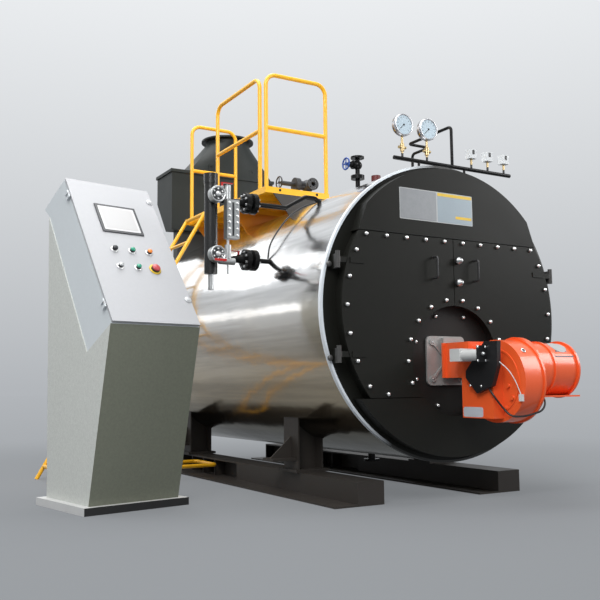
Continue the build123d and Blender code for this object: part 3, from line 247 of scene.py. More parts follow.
# Sets how strongly a material mirrors its surroundings
def dull(material, level):
    material.node_tree.nodes["Principled BSDF"].inputs["Specular IOR Level"].default_value = level


# name: colour, roughness, metallic, scale, amount, grain, bump, coat
finishes = {
    "front_paint": ((0.0110, 0.0112, 0.0092), 0.42, 0.0, 2.5, 0.25, 0.12, 0.04, 0.0),
    "bright_trim": ((0.84, 0.89, 0.94), 0.35, 0.3, 4.0, 0.10, 0.05, 0.02, 0.0),
    "furnace_iron": ((0.012, 0.011, 0.010), 0.50, 0.0, 5.0, 0.30, 0.15, 0.10, 0.0),
    "frame_grey": ((0.035, 0.030, 0.026), 0.50, 0.0, 4.0, 0.30, 0.10, 0.05, 0.0),
    "platform_yellow": ((0.90, 0.46, 0.012), 0.35, 0.0, 4.0, 0.10, 0.04, 0.03, 0.15),
    "condenser_paint": ((0.015, 0.019, 0.0175), 0.50, 0.0, 2.0, 0.25, 0.10, 0.05, 0.0),
    "duct_paint": ((0.030, 0.032, 0.031), 0.50, 0.0, 3.0, 0.15, 0.05, 0.03, 0.0),
    "pipe_black": ((0.007, 0.007, 0.007), 0.24, 0.0, 8.0, 0.20, 0.10, 0.05, 0.0),
    "brass_fittings": ((0.50, 0.38, 0.20), 0.30, 1.0, 12.0, 0.20, 0.10, 0.05, 0.0),
    "dial_case": ((0.58, 0.58, 0.60), 0.22, 1.0, 10.0, 0.08, 0.03, 0.01, 0.0),
    "switch_case": ((0.62, 0.64, 0.65), 0.40, 0.0, 12.0, 0.10, 0.05, 0.03, 0.0),
    "cast_silver": ((0.46, 0.47, 0.47), 0.34, 0.9, 14.0, 0.35, 0.35, 0.30, 0.0),
    "valve_iron": ((0.030, 0.032, 0.036), 0.45, 0.0, 10.0, 0.15, 0.15, 0.10, 0.0),
    "wheel_blue": ((0.012, 0.060, 0.280), 0.30, 0.0, 12.0, 0.10, 0.05, 0.03, 0.1),
    "lever_red": ((0.50, 0.012, 0.010), 0.30, 0.0, 12.0, 0.10, 0.05, 0.03, 0.1),
    "cap_red": ((0.10, 0.012, 0.010), 0.45, 0.0, 10.0, 0.20, 0.10, 0.05, 0.0),
    "handle_black": ((0.030, 0.030, 0.031), 0.25, 0.0, 14.0, 0.10, 0.05, 0.03, 0.0),
    "burner_grey": ((0.34, 0.34, 0.33), 0.45, 0.3, 9.0, 0.35, 0.40, 0.25, 0.0),
    "burner_red": ((0.86, 0.115, 0.026), 0.30, 0.0, 6.0, 0.08, 0.06, 0.08, 0.3),
    "burner_black": ((0.012, 0.012, 0.013), 0.38, 0.0, 9.0, 0.10, 0.08, 0.05, 0.0),
    "servo_white": ((0.60, 0.61, 0.60), 0.40, 0.0, 12.0, 0.08, 0.04, 0.03, 0.0),
    "cable_black": ((0.012, 0.012, 0.012), 0.40, 0.0, 20.0, 0.10, 0.05, 0.02, 0.0),
    "tube_white": ((0.70, 0.71, 0.72), 0.35, 0.0, 20.0, 0.05, 0.02, 0.02, 0.0),
    "desk_grey": ((0.42, 0.425, 0.44), 0.45, 0.0, 2.0, 0.05, 0.06, 0.10, 0.0),
    "desk_dark": ((0.020, 0.022, 0.026), 0.30, 0.0, 12.0, 0.10, 0.05, 0.03, 0.0),
    "brightNut": ((0.90, 0.90, 0.89), 0.30, 1.0, 14.0, 0.05, 0.03, 0.01, 0.0),
    "steelBolt": ((0.42, 0.42, 0.42), 0.35, 1.0, 14.0, 0.10, 0.05, 0.02, 0.0),
    "hingeGrey": ((0.080, 0.079, 0.077), 0.38, 0.3, 12.0, 0.25, 0.15, 0.05, 0.0),
    "darkGlass": ((0.010, 0.012, 0.016), 0.08, 0.0, 14.0, 0.05, 0.02, 0.0, 0.5),
    "paleDial": ((0.50, 0.62, 0.70), 0.35, 0.0, 14.0, 0.05, 0.02, 0.0, 1.0),
    "inkBlack": ((0.010, 0.010, 0.010), 0.50, 0.0, 14.0, 0.05, 0.02, 0.0, 0.0),
    "plateSilver": ((0.245, 0.255, 0.265), 0.40, 0.4, 30.0, 0.25, 0.35, 0.02, 0.0),
    "platePale": ((0.28, 0.335, 0.37), 0.35, 0.2, 4.0, 0.15, 0.05, 0.01, 0.0),
    "platePlum": ((0.045, 0.028, 0.040), 0.22, 0.2, 9.0, 0.05, 0.02, 0.01, 0.3),
    "plateEdge": ((0.42, 0.43, 0.43), 0.40, 0.2, 9.0, 0.05, 0.02, 0.01, 0.0),
    "plateYellow": ((0.75, 0.50, 0.03), 0.40, 0.0, 9.0, 0.10, 0.05, 0.01, 0.0),
    "labelSilver": ((0.62, 0.64, 0.69), 0.40, 0.2, 12.0, 0.15, 0.15, 0.02, 0.0),
    "screenPale": ((0.40, 0.395, 0.395), 0.30, 0.0, 5.0, 0.06, 0.02, 0.0, 0.4),
    "screenFrame": ((0.50, 0.495, 0.50), 0.35, 0.3, 14.0, 0.05, 0.02, 0.0, 0.0),
    "lockPale": ((0.55, 0.56, 0.57), 0.30, 0.2, 14.0, 0.05, 0.02, 0.0, 0.0),
    "buttonGreen": ((0.015, 0.27, 0.16), 0.25, 0.0, 14.0, 0.05, 0.02, 0.0, 0.4),
    "buttonOrange": ((0.80, 0.22, 0.02), 0.25, 0.0, 14.0, 0.05, 0.02, 0.0, 0.4),
    "buttonRed": ((0.46, 0.045, 0.050), 0.30, 0.0, 14.0, 0.05, 0.02, 0.0, 0.3),
}

# Polished cladding. A noise is its scale, detail and roughness, and a span its low and high end.
sheetLook = {
    "stretch": (1.0, 0.05, 1.0), "streaks": (5.0, 5.0, 0.6), "clouds": (1.3, 3.0, 0.5),
    "waves": (2.6, 2.0, 0.5), "wave": 0.50, "waveHeight": 0.012,
    # The warm lower colour and the dark colour near the floor are painted light: a reflection of the warm
    # floor on the lower shell, and shade near the floor
    "upper": (0.90, 0.905, 0.91), "under": (0.72, 0.59, 0.40), "deep": (0.20, 0.19, 0.145),
    "sway": 0.35, "reflectionSpan": (0.70, 1.80), "deepSpan": (0.36, 0.80), "dark": 0.62, "shadeSpan": (0.40, 0.60),
    "rough": (0.20, 0.10), "roughSpan": (0.3, 0.7), "bump": 0.12, "bumpHeight": 0.004,
}
# The rear end's sheet carries the same painted reflection and painted shade
rearLook = {**sheetLook, "dark": 0.86, "bump": 0.02, "wave": 0.10, "shadeSpan": (0.3, 0.7)}

materials = {name: paint(name + "Finish", *values) for name, values in finishes.items()}
materials["cladding"] = streaked("claddingFinish", sheetLook)
dullness = {
    "front_paint": 0.16, "frame_grey": 0.30, "furnace_iron": 0.25, "pipe_black": 0.15,
    "condenser_paint": 0.30,
}
for name, level in dullness.items():
    dull(materials[name], level)

# Desk: corner of its panel from the front centre, turn in degrees, the panel's nose, rise and run.
# The rest lies on the sloping panel: places, heights off it, and profiles of radius and height.
deskLook = {
    "corner": (-2.220, 0.710), "turn": 10.0, "nose": (-0.250, 1.140), "rise": 1.010, "run": 0.700,
    "face": 0.021, "behind": 0.002,
    "screen": (0.150, 0.450, 0.755, 1.010), "screenTop": 0.029, "screenRounding": 0.04,
    "panes": (
        ("deskScreenFrame", 0.018, 0.0006, "screenFrame"),
        ("deskDisplay", 0.034, 0.0012, "screenPale"),
    ),
    "buttonX": 0.186, "buttonY": 0.601, "pitch": 0.126, "drop": 0.146, "buttonTop": 0.041,
    "cap": ((0.0175, -0.017), (0.0175, 0.004), (0.014025, 0.008), (0.0066, 0.010)),
    "stopCap": ((0.029, -0.017), (0.029, 0.004), (0.0238, 0.008), (0.0112, 0.010)),
    "collar": ((0.02475, 0.0), (0.02475, 0.003), (0.02145, 0.006)),
    "stopRing": ((0.042, 0.0), (0.042, 0.004), (0.028, 0.005)),
    "locks": ((0.603, 0.209), (0.603, 1.106)), "lockTop": 0.029,
    "lock": (
        (0.025, -0.008), (0.025, -0.004), (0.023, -0.002), (0.0165, -0.0018), (0.0165, 0.0012),
        (0.0132, 0.003),
    ),
    "warm": ((0.56, 0.575, 0.54), 0.50, 0.0, 2.0, 0.05, 0.06, 0.10, 0.0),
    # Pedestal's front face: the orange-peel grain of its paint, darkened by painted shade
    "shadedPeel": ((0.160, 0.170, 0.130), 0.50, 0.0, 60.0, 0.40, 0.70, 0.10, 0.0),
    "cool": ((0.60, 0.64, 0.66), 0.45, 0.0, 2.0, 0.05, 0.06, 0.10, 0.0),
    "base": ((0.58, 0.58, 0.57), 0.45, 0.0, 4.0, 0.08, 0.06, 0.10, 0.0),
    "edge": ((0.012, 0.012, 0.012), 0.45, 0.0, 6.0, 0.20, 0.10, 0.05, 0.0),
}
deskTurn = radians(deskLook["turn"])
deskRight = np.array((cos(deskTurn), sin(deskTurn), 0.0))
deskBack = np.array((-sin(deskTurn), cos(deskTurn), 0.0))


# Normal of the face that looks most to the desk's front, and how far a plane just behind it lies
def foremost(name):
    mesh = nodes[name].data
    face = max(mesh.polygons, key=lambda polygon: (-np.dot(polygon.normal, deskBack), polygon.area))
    return face.normal.copy(), face.normal.dot(face.center - axis) - deskLook["behind"]


# Pieces that change their look along a plane: both looks, heading, distance from the front centre, blend.
# The desk's head has one look throughout.
downward = (0, 0, -1)
# Painted highlight and shade: the trim ring shows its bright metal only on the upper left side, where light
# falls, and the front's dark paint elsewhere
highlightSide = (-0.9, 0.0, 0.20)
shadedOrange = ((0.74, 0.27, 0.010), 0.40, 0.0, 4.0, 0.15, 0.06, 0.03, 0.0)
hinges = finishes["front_paint"], finishes["hingeGrey"]
planes = {
    "desk_head": (deskLook["cool"], deskLook["cool"], downward, 0.0, 0.01),
    # painted shade on the pedestal's front face, over its orange-peel grain
    "desk_pedestal": (deskLook["warm"], deskLook["shadedPeel"], *foremost("desk_pedestal"), 0.001),
    "desk_plinth": (deskLook["base"], deskLook["edge"], *foremost("desk_plinth"), 0.001),
    "manifold_stems": (finishes["brass_fittings"], finishes["pipe_black"], downward, -1.08, 0.001),
    "front_plate": (*hinges, (0, -1, 0), 0.04, 0.002),
    "left_door": (*hinges, (-1, 0, 0), 0.906, 0.001),
    "right_door": (*hinges, (1, 0, 0), 0.906, 0.001),
    "platform_brackets": (finishes["frame_grey"], shadedOrange, (0, 1, 0), 1.6, 0.01),
    # painted highlight on the trim ring's upper left side, painted shade on the rest
    "front_trim_ring": (finishes["front_paint"], finishes["bright_trim"], highlightSide, 0.38, 0.12),
    "water_column": (finishes["pipe_black"], finishes["cast_silver"], downward, -0.273, 0.001),
}
special = {name: twoTone(name + "Finish", *values) for name, values in planes.items()}
for name in ("front_plate", "left_door", "right_door"):
    dull(special[name], dullness["front_paint"])
special["smoke_box"] = materials["front_paint"]
special["rear_end"] = streaked("rearFinish", rearLook)
slotOf = {part["node"]: part["material_slot"] for part in frame["record"]["subparts"]}
for name, node in nodes.items():
    node.data.materials.clear()
    node.data.materials.append(special.get(name, materials[slotOf[name]]))
print("finishes on the packed pieces")


# From here on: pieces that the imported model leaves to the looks

# Point in the model's frame, or an array of points, from the shell's front centre
def place(x, y, z):
    return np.stack((axis.x + x, axis.y + y, axis.z + z), axis=-1)


# Point on an upright circle that faces the front
def onCircle(centre, radius, angle):
    return centre + radius * np.array((cos(angle), 0.0, sin(angle)))


# Mesh object from grids of points and their faces that rides on a body
def addPiece(name, grids, faces, finish, body, smooth=True):
    mesh = bpy.data.meshes.new(name)
    mesh.from_pydata(np.reshape(grids, (-1, 3)).tolist(), [], faces)
    mesh.polygons.foreach_set("use_smooth", [smooth] * len(faces))
    mesh.materials.append(materials[finish])
    piece = bpy.data.objects.new(name, mesh)
    bpy.context.scene.collection.objects.link(piece)
    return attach(piece, body)


# Faces of one grid: quads between its rings of count points, numbered from base, and its two ends
def skin(base, rows, count):
    rings = base + np.arange(rows * count).reshape(rows, count)
    beside = np.roll(rings, -1, axis=1)
    quads = np.stack((rings[:-1], beside[:-1], beside[1:], rings[1:]), axis=-1)
    return [*quads.reshape(-1, 4).tolist(), rings[0, ::-1].tolist(), rings[-1].tolist()]


# Points u, v on |u|^n + |v|^n = 1, with n = 2 / power
def superellipse(count, power):
    angle = 2 * np.pi * (np.arange(count) + 0.5) / count
    u = np.sign(np.cos(angle)) * np.abs(np.cos(angle)) ** power
    v = np.sign(np.sin(angle)) * np.abs(np.sin(angle)) ** power
    return u, v


# Two unit vectors square to a direction and to each other, then its own
def sides(direction):
    normal = np.array(direction, float)
    normal /= np.linalg.norm(normal)
    helper = np.array((0.0, 0.0, 1.0)) if abs(normal[2]) < 0.9 else np.array((0.0, 1.0, 0.0))
    across = np.cross(helper, normal)
    across /= np.linalg.norm(across)
    return across, np.cross(normal, across), normal


# One surface of revolution at each spot, with n its direction and radius r_k and height h_k its profile:
# p(k, a) = spot + r_k (cos a across + sin a upward) + h_k n
def turnedPieces(name, profile, spots, direction, finish, body, count=20, smooth=True):
    angle = 2 * np.pi * np.arange(count) / count
    radii, heights = np.array(profile).T[:, :, None, None]
    grids, faces = [], []
    headings = direction if isinstance(direction, list) else [direction] * len(spots)
    for spot, heading in zip(spots, headings):
        across, upward, normal = sides(heading)
        circle = np.cos(angle)[:, None] * across + np.sin(angle)[:, None] * upward
        faces.extend(skin(len(grids) * len(profile) * count, len(profile), count))
        grids.append(spot + radii * circle + heights * normal)
    return addPiece(name, grids, faces, finish, body, smooth)


# Thin plates with round corners, each (centre, half width, half height, thickness, turn). The outline is
# a superellipse, and its last ring is drawn in by a tenth of the thickness.
def slabs(name, specs, across, upward, finish, body, power=0.25, count=32):
    across = np.array(across, float)
    upward = np.array(upward, float)
    normal = np.cross(across, upward)
    u, v = superellipse(count, power)
    grids, faces = [], []
    for centre, halfWidth, halfHeight, thickness, turn in specs:
        along = cos(turn) * across + sin(turn) * upward
        over = -sin(turn) * across + cos(turn) * upward
        bevel = thickness / 10
        rings = np.array(((0.0, 0.0), (0.0, thickness - bevel), (bevel, thickness)))
        inset, height = rings.T[:, :, None]
        x, y = u * (halfWidth - inset), v * (halfHeight - inset)
        faces.extend(skin(len(grids) * len(rings) * count, len(rings), count))
        grids.append(centre + x[..., None] * along + y[..., None] * over + height[..., None] * normal)
    return addPiece(name, grids, faces, finish, body, smooth=False)


outward = (0.0, -1.0, 0.0)
leftward = (-1.0, 0.0, 0.0)
right = (1.0, 0.0, 0.0)
up = (0.0, 0.0, 1.0)

# Domed nuts round the door leaves and on the burner plate. Angles are in degrees.
nutLook = {
    "profile": (
        (0.0145, 0.0), (0.0145, 0.006), (0.0135, 0.009), (0.0125, 0.013), (0.0095, 0.0175), (0.0048, 0.0200),
    ),
    "face": -0.095, "plateFace": -0.030, "topLevel": 0.461, "topSpan": 0.717, "topCount": 10,
    "rimRadius": 0.868, "rimStart": 24.0, "rimStep": -11.8, "rimCount": 6, "low": (0.570, -0.548),
    "burnerLevel": -0.333, "ringRadius": 0.407, "ringStart": 1.0, "ringCount": 18, "ringLow": -0.225,
    "innerRadius": 0.320, "innerCount": 8,
}


# Nut places on one leaf, side -1 or 1
def nutSpots(side):
    look = nutLook
    spots = []
    step = 2 * look["topSpan"] / (look["topCount"] - 1)
    for index in range(look["topCount"] // 2):
        spots.append((side * step * (index + 0.5), look["topLevel"]))
    for index in range(look["rimCount"]):
        angle = radians(look["rimStart"] + look["rimStep"] * index)
        spots.append((side * look["rimRadius"] * cos(angle), look["rimRadius"] * sin(angle)))
    spots.append((side * look["low"][0], look["low"][1]))
    for index in range(look["ringCount"]):
        angle = radians(look["ringStart"] + 360 / look["ringCount"] * index)
        x, z = look["ringRadius"] * cos(angle), look["ringRadius"] * sin(angle)
        if x * side > 0 and z > look["ringLow"]:
            spots.append((x, look["burnerLevel"] + z))
    return [place(x, look["face"], z) for x, z in spots]


for side, hand in ((-1, "left"), (1, "right")):
    spots = nutSpots(side)
    turnedPieces(hand + "DoorNuts", nutLook["profile"], spots, outward, "brightNut", hand + "_door", count=12)
centre = place(0.0, nutLook["plateFace"], nutLook["burnerLevel"])
step = 2 * np.pi / nutLook["innerCount"]
spots = [onCircle(centre, nutLook["innerRadius"], step * (i + 0.5)) for i in range(nutLook["innerCount"])]
turnedPieces("burnerPlateNuts", nutLook["profile"], spots, outward, "brightNut", "boiler", count=12)

# Knobs beside the joint of the leaves, between the handles
knobLook = {
    "profile": (
        (0.026, 0.0), (0.026, 0.010), (0.0235, 0.013), (0.021, 0.019), (0.015, 0.023), (0.0125, 0.033),
        (0.008, 0.035),
    ),
    "x": 0.030, "y": -0.1115, "levels": (0.336, 0.187),
}
look = knobLook
spots = [place(look["x"], look["y"], level) for level in look["levels"]]
turnedPieces("clampKnobs", look["profile"], spots, outward, "cast_silver", "right_door")

# Round screws beside the fixed hinge knuckles
hingeLook = {
    "profile": ((0.018, 0.0), (0.018, 0.010), (0.015, 0.016), (0.006, 0.018)),
    "x": 0.950, "y": -0.020, "levels": (0.262, -0.322),
}
look = hingeLook
spots = [place(side * look["x"], look["y"], level) for side in (-1, 1) for level in look["levels"]]
turnedPieces("hingeScrews", look["profile"], spots, outward, "hingeGrey", "boiler", count=16)

# Dark screws in the platform's front edge
deckLook = {
    "profile": ((0.011, 0.0), (0.011, 0.003), (0.007, 0.006)),
    "x": (-0.518, -0.170), "y": 1.370, "level": 1.080,
}
look = deckLook
spots = [place(x, look["y"], look["level"]) for x in look["x"]]
turnedPieces("deckScrews", look["profile"], spots, outward, "furnace_iron", "boiler", count=12)

# Bare name plate in two parts on the upper panel, on a pale edge and with yellow strips
plateLook = {
    "face": -0.095, "left": -0.444, "middle": -0.132, "right": 0.180, "low": 0.587, "high": 0.796,
    "edge": 0.005, "base": 0.0008, "thickness": 0.0014, "raised": 0.0018, "rounding": 0.03,
    "strips": ((-0.126, 0.174, 0.769, 0.790), (0.028, 0.170, 0.624, 0.643)),
}


# Slab between two widths and two levels on the upper panel
def plateSlab(x0, x1, z0, z1, thickness):
    centre = place((x0 + x1) / 2, plateLook["face"], (z0 + z1) / 2)
    return centre, (x1 - x0) / 2, (z1 - z0) / 2, thickness, 0.0


look = plateLook
x0, x1, x2, z0, z1, edge = (look[key] for key in ("left", "middle", "right", "low", "high", "edge"))
plateParts = {
    "Edge": [plateSlab(x0, x2, z0, z1, look["base"])],
    "Silver": [plateSlab(x0 + edge, x1 - edge, z0 + edge, z1 - edge, look["thickness"])],
    "Pale": [plateSlab(x1 + edge, x2 - edge, z0 + edge, z1 - edge, look["thickness"])],
    "Yellow": [plateSlab(*strip, look["raised"]) for strip in look["strips"]],
}
for kind, specs in plateParts.items():
    slabs("namePlate" + kind, specs, right, up, "plate" + kind, "boiler", look["rounding"])
print("front details added")


# Pressure dials: bright bezel, pale face, ticks, needle and hub. A mark is half a length, half a width
# and a thickness.
dialLook = {
    "x": (-0.291, -0.077), "y": 0.036, "level": 1.273, "rise": 0.0010, "thickness": 0.0008,
    "bezel": ((0.0770, -0.030), (0.0770, 0.002), (0.0745, 0.006), (0.0690, 0.006), (0.0668, 0.0009)),
    "face": ((0.0660, 0.0), (0.0660, 0.0008)), "hub": ((0.0065, 0.0), (0.0065, 0.0030), (0.0039, 0.0040)),
    "tickCount": 11, "tickStart": 225.0, "tickEnd": -45.0, "tickRadius": 0.053,
    "tick": (0.0055, 0.0013, 0.0006),
    "needleAngles": (222.0, 226.0), "needleRadius": 0.0189, "needle": (0.027, 0.0017, 0.0012),
}
look = dialLook
spots = [place(x, look["y"], look["level"]) for x in look["x"]]
turnedPieces("dialBezels", look["bezel"], spots, outward, "dial_case", "boiler", count=40)
centres = [spot + look["rise"] * np.array(outward) for spot in spots]
turnedPieces("dialFaces", look["face"], centres, outward, "paleDial", "boiler", count=40, smooth=False)
marks = []
tickStep = (look["tickEnd"] - look["tickStart"]) / (look["tickCount"] - 1)
for centre, heading in zip(centres, look["needleAngles"]):
    front = centre + look["thickness"] * np.array(outward)
    for index in range(look["tickCount"]):
        angle = radians(look["tickStart"] + tickStep * index)
        marks.append((onCircle(front, look["tickRadius"], angle), *look["tick"], angle))
    angle = radians(heading)
    marks.append((onCircle(front, look["needleRadius"], angle), *look["needle"], angle))
slabs("dialMarks", marks, right, up, "inkBlack", "boiler")
turnedPieces("dialHubs", look["hub"], centres, outward, "inkBlack", "boiler", count=16)

# Dark windows of the pressure switches
switchLook = {
    "x": (0.332, 0.488, 0.647), "face": 0.035, "level": 1.168,
    "size": (0.0105, 0.016, 0.001), "rounding": 0.08,
}
look = switchLook
windows = [(place(x, look["face"], look["level"]), *look["size"], 0.0) for x in look["x"]]
slabs("switchWindows", windows, right, up, "inkBlack", "boiler", look["rounding"])

# Screws beside the sight slot of the level gauge, and the slot's glass
gaugeLook = {
    "x": -1.275, "face": 0.6615, "low": 0.507, "high": 0.773, "rows": 6, "reach": 0.029,
    "profile": ((0.0088, 0.0), (0.0088, 0.005), (0.0060, 0.0080)),
    "slot": 0.0070, "slotFace": 0.6695, "slotEnd": 0.018, "glass": 0.001,
}
look = gaugeLook
length = look["high"] - look["low"]
step = length / look["rows"]
spots = [
    place(look["x"] + side * look["reach"], look["face"], look["low"] + step * (row + 0.5))
    for side in (-1, 1) for row in range(look["rows"])
]
turnedPieces("gaugeScrews", look["profile"], spots, outward, "brightNut", "boiler", count=10)
centre = place(look["x"], look["slotFace"], (look["low"] + look["high"]) / 2)
glass = (centre, look["slot"], length / 2 - look["slotEnd"], look["glass"], 0.0)
slabs("gaugeGlass", [glass], right, up, "darkGlass", "boiler")

# Faces of the two gauge cocks: rim, dark recess, hub and bolts
cockLook = {
    "x": -1.380, "y": 0.680, "levels": (0.808, 0.398), "boltCircle": 0.034, "boltCount": 6,
    "rim": ((0.0565, -0.001), (0.0565, 0.004), (0.0530, 0.0065), (0.0480, 0.0065), (0.0450, 0.0010)),
    "recess": ((0.0430, 0.0), (0.0430, 0.0018)),
    "hub": ((0.0190, 0.0), (0.0190, 0.0060), (0.0120, 0.0075), (0.0120, 0.0105), (0.0080, 0.0118)),
    "bolt": ((0.0065, 0.0), (0.0065, 0.0065), (0.0045, 0.0080)),
}
look = cockLook
spots = [place(look["x"], look["y"], level) for level in look["levels"]]
turnedPieces("cockRims", look["rim"], spots, outward, "cast_silver", "boiler", count=32)
turnedPieces("cockRecesses", look["recess"], spots, outward, "valve_iron", "boiler", count=32, smooth=False)
turnedPieces("cockHubs", look["hub"], spots, outward, "brightNut", "boiler")
step = 2 * np.pi / look["boltCount"]
bolts = [
    onCircle(spot, look["boltCircle"], step * (index + 0.5))
    for spot in spots for index in range(look["boltCount"])
]
turnedPieces("cockBolts", look["bolt"], bolts, outward, "brightNut", "boiler", count=6, smooth=False)

# Bolts on both outer sides of the flange pairs of the column's pipes
jointLook = {
    "left": -1.129, "right": -1.039, "y": 0.800, "levels": (0.793, 0.390), "circle": 0.055, "count": 8,
    "profile": ((0.0095, 0.0), (0.0095, 0.009), (0.0075, 0.012)),
}
look = jointLook
spots, headings = [], []
for level in look["levels"]:
    for index in range(look["count"]):
        angle = 2 * np.pi * (index + 0.5) / look["count"]
        y, z = look["y"] + look["circle"] * cos(angle), level + look["circle"] * sin(angle)
        for x, heading in ((look["left"], leftward), (look["right"], right)):
            spots.append(place(x, y, z))
            headings.append(heading)
turnedPieces("jointBolts", look["profile"], spots, headings, "steelBolt", "boiler", count=6, smooth=False)

# Burner: bare label, cover screws, sight glass, the servo's bracket and shaft, screws of the grey flange
burnerLook = {
    "labelX": -0.080, "label": (-0.420, -0.240, -0.697, -0.634), "labelThickness": 0.0012,
    "coverX": -0.110, "coverScrews": ((-0.340, -0.500), (-0.440, -0.504)),
    "screw": ((0.0085, 0.0), (0.0085, 0.002), (0.0050, 0.0042)),
    "sight": (0.062, -0.6335, -0.2905), "sightHeading": (0.0, -0.711, 0.703),
    "sightRing": ((0.0170, -0.004), (0.0170, 0.006), (0.0135, 0.008), (0.0120, 0.0045)),
    "glass": ((0.0125, 0.0046), (0.0125, 0.0052)),
    "servoEnd": (-0.150, -0.4955, -0.306), "bracket": (0.042, 0.052, 0.004), "bracketRounding": 0.1,
    "bracketScrews": (0.032, 0.042),
    "shaft": ((0.0110, 0.0), (0.0110, 0.014), (0.0070, 0.016), (0.0070, 0.026)),
    "flange": (-0.045, -0.054, -0.333), "flangeScrews": (0.1205, 0.1205),
}


# Four places round a centre, in an upright rectangle that faces the front
def corners(centre, reachX, reachZ):
    return [centre + np.array((i * reachX, 0.0, k * reachZ)) for i in (-1, 1) for k in (-1, 1)]


look = burnerLook
y0, y1, z0, z1 = look["label"]
centre = place(look["labelX"], (y0 + y1) / 2, (z0 + z1) / 2)
label = (centre, (y1 - y0) / 2, (z1 - z0) / 2, look["labelThickness"], 0.0)
slabs("burnerLabel", [label], outward, up, "labelSilver", "boiler")
spots = [place(look["coverX"], y, z) for y, z in look["coverScrews"]]
turnedPieces("coverScrews", look["screw"], spots, leftward, "brightNut", "boiler", count=12)
spots = [place(*look["sight"])]
turnedPieces("sightGlassRing", look["sightRing"], spots, look["sightHeading"], "brightNut", "boiler")
turnedPieces("sightGlass", look["glass"], spots, look["sightHeading"], "darkGlass", "boiler", smooth=False)
end = place(*look["servoEnd"])
bracket = (end, *look["bracket"], 0.0)
slabs("servoBracket", [bracket], right, up, "burner_black", "boiler", look["bracketRounding"])
end = end + look["bracket"][2] * np.array(outward)
turnedPieces("servoShaft", look["shaft"], [end], outward, "cast_silver", "boiler", count=16)
spots = corners(end, *look["bracketScrews"])
turnedPieces("bracketScrews", look["screw"], spots, outward, "brightNut", "boiler", count=12)
spots = corners(place(*look["flange"]), *look["flangeScrews"])
turnedPieces("flangeScrews", look["screw"], spots, outward, "steelBolt", "boiler", count=12)

# Bare oval plate on a dark curved plate, on top of the burner's air intake.
# Each ring of a plate is a share of its size, on its underside or on its top. Angles are in degrees.
intakeLook = {
    "y": -0.450, "level": -0.400, "radius": 0.172, "sunk": 0.0005, "count": 40,
    "rings": ((0.02, "low"), (0.5, "low"), (1.0, "low"), (1.0, "high"), (0.5, "high"), (0.02, "high")),
    "plates": {
        "Plum": {"x": 0.455, "halfX": 0.086, "middle": 30.0, "halfTurn": 34.0, "power": 0.04, "top": 0.0012},
        "Edge": {"x": 0.460, "halfX": 0.064, "middle": 32.0, "halfTurn": 20.0, "power": 1.0, "top": 0.0018},
    },
}


# Plate bent round the intake: (x + halfX u, -r sin b, r cos b) from the intake's axis, with
# b = middle - halfTurn v and u, v on a superellipse
def curvedPlate(name, plate):
    look = intakeLook
    u, v = superellipse(look["count"], plate["power"])
    radii = {"low": look["radius"] - look["sunk"], "high": look["radius"] + plate["top"]}
    shares, levels = zip(*look["rings"])
    share = np.array(shares)[:, None]
    radius = np.array([radii[level] for level in levels])[:, None]
    x = plate["x"] + plate["halfX"] * share * u
    bend = np.radians(plate["middle"] - plate["halfTurn"] * share * v)
    grid = place(x, look["y"] - radius * np.sin(bend), look["level"] + radius * np.cos(bend))
    faces = skin(0, len(look["rings"]), look["count"])
    addPiece("intake" + name, grid, faces, "plate" + name, "boiler", smooth=False)


for name, plate in intakeLook["plates"].items():
    curvedPlate(name, plate)
print("fittings' details added")

# Control desk: its panel's own axes, then screen, locks, buttons and their collars
look = deskLook
slope = np.arctan2(look["rise"], look["run"])
deskUp = cos(slope) * deskBack + sin(slope) * np.array(up)
deskOut = np.cross(deskRight, deskUp)
deskNormal = tuple(deskOut)


# Point of the desk's sloping panel, z off its plane
def onDesk(x, y, z):
    corner = place(*deskLook["corner"], -axis.z)
    start = corner + deskLook["nose"][0] * deskBack + deskLook["nose"][1] * np.array(up)
    return start + x * deskRight + y * deskUp + z * deskOut


# Place of a button in the panel's grid
def buttonSpot(column, row, height):
    x = deskLook["buttonX"] + deskLook["pitch"] * column
    y = deskLook["buttonY"] - deskLook["drop"] * row
    return onDesk(x, y, height)


x0, x1, y0, y1 = look["screen"]
centre = onDesk((x0 + x1) / 2, (y0 + y1) / 2, look["screenTop"])
for name, inset, thickness, finish in look["panes"]:
    pane = (centre, (x1 - x0) / 2 - inset, (y1 - y0) / 2 - inset, thickness, 0.0)
    slabs(name, [pane], deskRight, deskUp, finish, "desk_door", look["screenRounding"])
spots = [onDesk(x, y, look["lockTop"]) for x, y in look["locks"]]
turnedPieces("deskLocks", look["lock"], spots, deskNormal, "lockPale", "desk_door", count=24)

# finish: its buttons' columns and rows
buttons = {
    "desk_dark": [(0, 0)], "buttonGreen": [(1, 0), (1, 1)], "buttonOrange": [(2, 0)], "buttonRed": [(2, 1)],
    "cast_silver": [(0, 1)],
}
for finish, keys in buttons.items():
    spots = [buttonSpot(column, row, look["buttonTop"]) for column, row in keys]
    cap = look["stopCap"] if finish == "buttonRed" else look["cap"]
    turnedPieces("deskButton" + finish.replace("_", "").title(), cap, spots, deskNormal, finish, "desk_door")
rings = [buttonSpot(column, row, look["face"]) for column in range(3) for row in range(2)]
turnedPieces("deskCollars", look["collar"], rings[:-1], deskNormal, "brightNut", "desk_door")
turnedPieces("deskStopRing", look["stopRing"], rings[-1:], deskNormal, "plateYellow", "desk_door", count=24)
print("desk details added")


# Stage: floor, world and lamps. The floor's far tone is also the sky's lowest.
stageLook = {
    "floorSize": 90.0, "floor": (0.205, 0.213, 0.224), "roughness": 0.9, "shine": 0.1,
    "near": (0.300, 0.318, 0.334), "far": (0.445, 0.465, 0.490), "fall": 4.42,
    "reach": (2.0, 7.0), "share": (0.45, 1.0), "skyHigh": (0.830, 0.850, 0.870), "skyTop": 0.44, "fill": 0.75,
}


